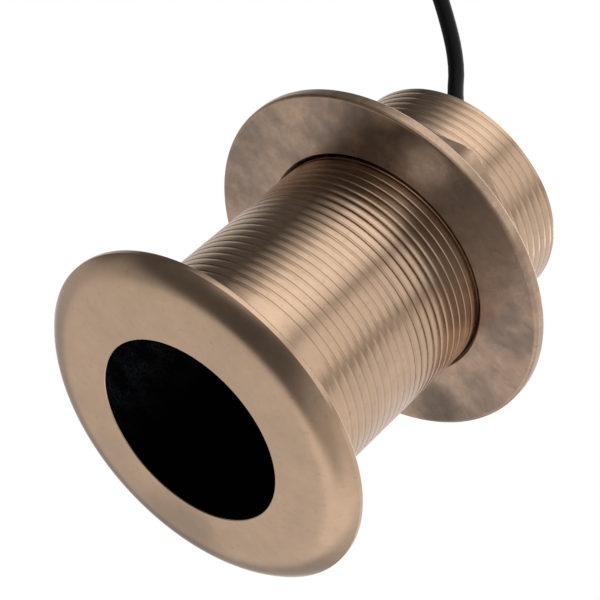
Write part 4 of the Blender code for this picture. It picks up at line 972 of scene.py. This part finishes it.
def bronze(name, gloss, blotch, mottling, spots, seed=0.0, metal=1.0, worn_and_shaded=False):
    """Satin turned bronze: fine grain, faint turning lines, specks, tarnish in blotches, and spots of
    tarnish, painted shade and painted light.

    worn is for the nut, which is rubbed clean on its rim and hub and has painted shade in its countersink.
    """
    n = new_material(name)
    shift = tuple(seed * share for share in SEED_SHIFTS)
    place = n.add("Mapping", {"Vector": n.place, "Location": shift}).outputs["Vector"]
    cloud, tone = bronze_shades(n, place)
    kept = 1.0
    if worn_and_shaded:
        clean, countersink_shade = nut_wear_and_shade(n)
        kept = n.math("SUBTRACT", 1.0, clean)
        blotch = n.math("MULTIPLY_ADD", clean, CLEAN_BLOTCH - blotch, blotch)
    colour = n.mix(blotch, CLEAN_BRONZE, tone)
    # Painted shade darkens the nut's countersink, where it meets the stem
    if worn_and_shaded:
        colour = n.mix(countersink_shade, colour, COUNTERSINK_SHADE_BRONZE)
    # Spots of tarnish, and on the nut also of painted shade and painted light
    for spot_place, core, fade, share, shade in spots:
        share = n.math("MULTIPLY", n.spot(cloud, spot_place, core, fade), share)
        colour = n.mix(n.math("MULTIPLY", share, kept), colour, shade)
    mottle = n.noise(MOTTLE_SCALE, detail=4.0, roughness=0.6, vector=place, distortion=0.4)
    shades = n.ramp(mottle, zip(MOTTLE_STOPS, (1.0 - mottling, 1.0)))
    colour = n.mix(1.0, colour, shades, "MULTIPLY")
    speck = n.noise(SPECK_SCALE, detail=2.0, roughness=0.6, vector=place)
    colour = n.mix(n.ramp(speck, SPECK_STOPS), colour, SPECK_BROWN)
    grain = n.noise(GRAIN_SCALE, roughness=0.65, vector=place)
    lines = n.noise(1.0, detail=2.0, roughness=0.6, vector=n.stretched(TURNING_SCALES))
    relief = n.math("MULTIPLY_ADD", lines, TURNING_SHARE, n.math("MULTIPLY", grain, 1 - TURNING_SHARE))
    rough = n.math("MULTIPLY_ADD", cloud, GLOSS_SPREAD, gloss - GLOSS_SPREAD / 2)
    return n.finish(colour, rough, n.bump(relief, BRONZE_BUMP, BRONZE_RELIEF), Metallic=metal)


def urethane():
    """Black moulded urethane, with a fine grain, and a painted sheen in that grain that shows faintly towards
    one side.
    """
    n = new_material("window_urethane")
    grain = n.noise(GRAIN_AND_SHEEN_SCALE, detail=4.0, roughness=0.7)
    cloud = n.ramp(n.noise(SHEEN_CLOUD_SCALE, detail=2.0), SHEEN_CLOUD_STOPS)
    # Painted sheen: a paler, bluish grain towards one side, in place of a reflection
    painted_sheen = n.mix(n.ramp(grain, SHEEN_GRAIN_STOPS), SHEEN_GRAIN_DARK, SHEEN_GRAIN_PALE)
    share = n.math("MULTIPLY", n.smooth(n.axis("X"), SHEEN_NONE_AT, SHEEN_FULL_AT), cloud)
    rough = n.math("MULTIPLY_ADD", grain, 0.20, 0.44)
    normal = n.bump(grain, strength=0.25, distance=0.04 * MM)
    return n.finish(n.mix(share, WINDOW_BLACK, painted_sheen), rough, normal, Specular_IOR_Level=0.0)


def plain_finish(name, dark, light, rough=0.45, scale=400, bump=0.12, metallic=0.0):
    """A moulded, drawn or plated surface: slight tone changes, fine grain and uneven gloss."""
    n = new_material(name)
    grain = n.noise(scale * FINISH_GRAIN_RATIO, roughness=0.65)
    colour = n.ramp(n.noise(scale * FINISH_TONE_RATIO), zip(FINISH_TONE_STOPS, (dark, light)))
    roughness = n.math("MULTIPLY_ADD", grain, FINISH_SPREAD, rough - FINISH_SPREAD / 2)
    return n.finish(colour, roughness, n.bump(grain, bump, FINISH_RELIEF), Metallic=metallic)


def strands(name, dark, light, lines):
    """Metal wound or woven from fine strands that run round the stem's axis."""
    n = new_material(name)
    inputs = {"Vector": n.place, "Scale": lines, "Distortion": 0.4}
    band = n.add("TexWave", inputs, wave_type="BANDS", bands_direction="Z").outputs["Fac"]
    rough = n.math("MULTIPLY_ADD", band, 0.1, 0.35)
    colour = n.ramp(band, [(0.2, dark), (0.8, light)])
    return n.finish(colour, rough, n.bump(band, strength=0.5, distance=0.1 * MM), Metallic=1.0)


def cork():
    """Pressed cork, in small dark-edged cells."""
    n = new_material("cork_grain")
    cell = n.add("TexVoronoi", {"Vector": n.place, "Scale": 900}).outputs["Distance"]
    colour = n.ramp(cell, [(0.1, (0.16, 0.09, 0.045)), (0.6, (0.45, 0.29, 0.15))])
    return n.finish(colour, roughness=0.9, normal=n.bump(cell, strength=0.5, distance=0.2 * MM))


def jacket():
    """Black cable jacket: satin, with a faint drawn grain."""
    n = new_material("jacket_black")
    grain = n.noise(1800, roughness=0.6)
    tone = n.noise(120, detail=2.0)
    colour = n.ramp(tone, [(0.35, (0.0030, 0.0030, 0.0032)), (0.65, (0.0055, 0.0055, 0.0060))])
    rough = n.math("MULTIPLY_ADD", grain, 0.18, 0.46)
    normal = n.bump(grain, strength=0.15, distance=0.05 * MM)
    return n.finish(colour, rough, normal, Specular_IOR_Level=0.18)


def dress_inner_nodes(cable_jacket):
    """Finishes for the sealed inner pieces, by the record's slot names."""
    silver = plain_finish("ceramic_silver", (0.50, 0.49, 0.46), (0.68, 0.67, 0.63), rough=0.42, metallic=0.8)
    resin = plain_finish("resin_black", (0.012, 0.011, 0.010), (0.024, 0.022, 0.020), rough=0.28, scale=150)
    ferrite = plain_finish(
        "ferrite_grey", (0.040, 0.040, 0.044), (0.070, 0.070, 0.075), rough=0.60, scale=900, bump=0.3
    )
    finishes = {
        "silvered_ceramic": silver,
        "cork": cork(),
        "potting_resin": resin,
        "ferrite": ferrite,
        "nylon": plain_finish("nylon_natural", (0.70, 0.68, 0.60), (0.82, 0.80, 0.74), rough=0.48),
        "copper_wire": strands("copper_turns", (0.30, 0.09, 0.03), (0.76, 0.34, 0.16), 700),
        "tinned_wire": strands("tinned_strands", (0.30, 0.30, 0.31), (0.72, 0.72, 0.74), 900),
        "thermistor_bead": plain_finish("bead_blue", (0.02, 0.08, 0.25), (0.04, 0.12, 0.36), rough=0.40),
        "circuit_board": plain_finish(
            "board_green", (0.015, 0.13, 0.045), (0.035, 0.22, 0.08), rough=0.40, scale=700
        ),
        "chip": plain_finish(
            "chip_black", (0.014, 0.014, 0.015), (0.026, 0.026, 0.028), rough=0.55, scale=900
        ),
        "film_capacitor": plain_finish("capacitor_red", (0.38, 0.05, 0.03), (0.55, 0.10, 0.06), rough=0.35),
        "resistor": plain_finish("resistor_tan", (0.52, 0.41, 0.25), (0.68, 0.55, 0.36), rough=0.50),
        "cable_jacket": cable_jacket,
        "red_insulation": plain_finish("wire_red", (0.38, 0.02, 0.015), (0.50, 0.04, 0.03), rough=0.42),
        "black_insulation": plain_finish("wire_black", (0.010, 0.010, 0.010), (0.02, 0.02, 0.02), rough=0.42),
        "white_insulation": plain_finish("wire_white", (0.74, 0.74, 0.72), (0.84, 0.84, 0.82), rough=0.42),
        "blue_insulation": plain_finish("wire_blue", (0.02, 0.07, 0.36), (0.04, 0.11, 0.48), rough=0.42),
        "brown_insulation": plain_finish("wire_brown", (0.16, 0.07, 0.03), (0.24, 0.11, 0.05), rough=0.42),
    }
    for part in frame["record"]["subparts"]:
        node = frame["nodes"][part["node"]]
        if not node.hide_render:
            node.data.materials.clear()
            node.data.materials.append(finishes[part["material_slot"]])


def make_camera():
    """The photograph's camera, below the object and in front of it."""
    data = bpy.data.cameras.new("camera")
    data.lens = CAMERA_LENS
    data.sensor_width = SENSOR_WIDTH
    data.clip_start, data.clip_end = CAMERA_CLIP
    camera = link(bpy.data.objects.new("camera", data))
    back = CAMERA_RIGHT.cross(CAMERA_UP)
    turn = Matrix((CAMERA_RIGHT, CAMERA_UP, back)).transposed().to_4x4()
    camera.matrix_world = Matrix.Translation(CAMERA_PLACE) @ turn
    bpy.context.scene.camera = camera


def make_world():
    """A studio of soft boxes and flags round the object, and plain white behind it."""
    world = bpy.data.worlds.new("studio")
    bpy.context.scene.world = world
    n = Nodes(world)
    x, y, z = n.add("SeparateXYZ", {0: n.coordinates["Generated"]}).outputs
    turns = n.math("DIVIDE", n.math("ARCTAN2", y, x), TURN)
    azimuth = n.math("FRACT", n.math("ADD", turns, 1.0))
    most = max(level for _, level in (*HIGH_RING, *EYE_RING, *LOW_RING))
    high, eye, low = (
        n.ramp(azimuth, [(degrees / 360, level / most) for degrees, level in ring], "EASE")
        for ring in (HIGH_RING, EYE_RING, LOW_RING)
    )
    overhead, under_left, under_right = (
        (level / most,) * 3 for level in (OVERHEAD_LEVEL, UNDER_LEFT_LEVEL, UNDER_RIGHT_LEVEL)
    )
    level = n.mix(n.smooth(z, *LOW_TO_EYE), low, eye)
    level = n.mix(n.smooth(z, *EYE_TO_HIGH), level, high)
    level = n.mix(n.smooth(z, *HIGH_TO_OVERHEAD), level, overhead)
    under = n.mix(n.smooth(x, *UNDER_LEFT_TO_RIGHT), under_left, under_right)
    down = n.smooth(n.math("MULTIPLY", z, -1.0), *LOW_TO_UNDER)
    front = n.smooth(n.math("MULTIPLY", y, -1.0), *BACK_TO_FRONT)
    level = n.mix(n.math("MULTIPLY", down, front), level, under)
    studio = n.add("Background", {"Color": level, "Strength": most}).outputs[0]
    backdrop = n.add("Background", {"Color": WHITE}).outputs[0]
    rays = n.add("LightPath").outputs
    seen = n.math("MAXIMUM", rays["Is Camera Ray"], rays["Is Transmission Ray"])
    n.feed(n.tree.nodes["World Output"].inputs["Surface"], n.mix_shader(seen, studio, backdrop))


def make_floor():
    """A pale floor that fades to white, seen from above only: the camera looks up through it."""
    bm = bmesh.new()
    bmesh.ops.create_circle(bm, cap_ends=True, segments=FLOOR_STEPS, radius=FLOOR_RADIUS)
    mesh = finished(bm, "floor")
    if mesh.polygons[0].normal.z < 0:
        mesh.flip_normals()
    floor = link(bpy.data.objects.new("floor", mesh))
    floor.location.z = -FLOOR_DROP
    n = new_material("floor_pale")
    paper = n.noise(FLOOR_PAPER_SCALE, detail=2.0, roughness=0.5)
    n.finish(n.ramp(paper, FLOOR_GREYS), FLOOR_ROUGHNESS)
    pale = n.tree.nodes["Principled BSDF"].outputs[0]
    glow = n.add("Emission", {"Color": WHITE}).outputs[0]
    lit = n.mix_shader(n.smooth(n.length(n.place), *FLOOR_FADE), pale, glow)
    camera_ray = n.add("LightPath").outputs["Is Camera Ray"]
    backfacing = n.add("NewGeometry").outputs["Backfacing"]
    from_above = n.math("SUBTRACT", camera_ray, backfacing, use_clamp=True)
    shown = n.mix_shader(from_above, n.add("BsdfTransparent").outputs[0], lit)
    n.feed(n.tree.nodes["Material Output"].inputs["Surface"], shown)
    mesh.materials.append(n.owner)


def make_lamp():
    """One large soft lamp, overhead and a little behind."""
    data = bpy.data.lights.new("top_light", "AREA")
    data.shape = "RECTANGLE"
    data.size = data.size_y = LAMP_SIZE
    data.energy = LAMP_POWER
    lamp = link(bpy.data.objects.new("top_light", data))
    lamp.location = LAMP_PLACE
    lamp.rotation_euler = (LAMP_TARGET - LAMP_PLACE).to_track_quat("-Z", "Y").to_euler()


make_camera()
black_jacket = jacket()
cable = make_cable(black_jacket)

# The nut's bronze: tarnish and wear, with painted shade and painted light on its face and in its countersink
nut_bronze_wear_and_painted_light = bronze(
    "bronze_tarnish_and_painted_light",
    gloss=0.28,
    blotch=0.95,
    mottling=0.20,
    spots=NUT_TARNISH_AND_PAINTED_LIGHT,
    seed=3.1,
    metal=0.80,
    worn_and_shaded=True,
)
make_housing(bronze("bronze_satin", gloss=0.22, blotch=0.22, mottling=0.05, spots=HEAD_SPOTS))
make_nut(nut_bronze_wear_and_painted_light)
make_window(urethane())
rubber = plain_finish(
    "seal_black", (0.010, 0.010, 0.010), (0.020, 0.020, 0.020), rough=0.62, scale=600, bump=0.25
)
make_resin(plain_finish(
    "resin_gloss", (0.010, 0.009, 0.008), (0.022, 0.020, 0.018), rough=0.26, scale=160, bump=0.10
))
make_seal(rubber)
strap_nylon = plain_finish(
    "strap_black", (0.016, 0.016, 0.017), (0.030, 0.030, 0.032), rough=0.40, scale=500, bump=0.12
)
ties = [make_tie(i + 1, angle, strap_nylon) for i, angle in enumerate(TIE_ANGLES)]
plug = make_plug(
    black_jacket,
    plain_finish(
        "nickel_satin", (0.55, 0.53, 0.49), (0.68, 0.66, 0.61),
        rough=0.26, scale=300, bump=0.05, metallic=1.0,
    ),
    plain_finish("insert_dark", (0.030, 0.030, 0.033), (0.060, 0.060, 0.065), rough=0.50),
    plain_finish(
        "contact_brass", (0.72, 0.52, 0.20), (0.86, 0.66, 0.30),
        rough=0.22, scale=300, bump=0.04, metallic=1.0,
    ),
    rubber,
)
dress_inner_nodes(black_jacket)

make_world()
make_floor()
make_lamp()

bpy.context.scene.view_settings.view_transform = "Standard"
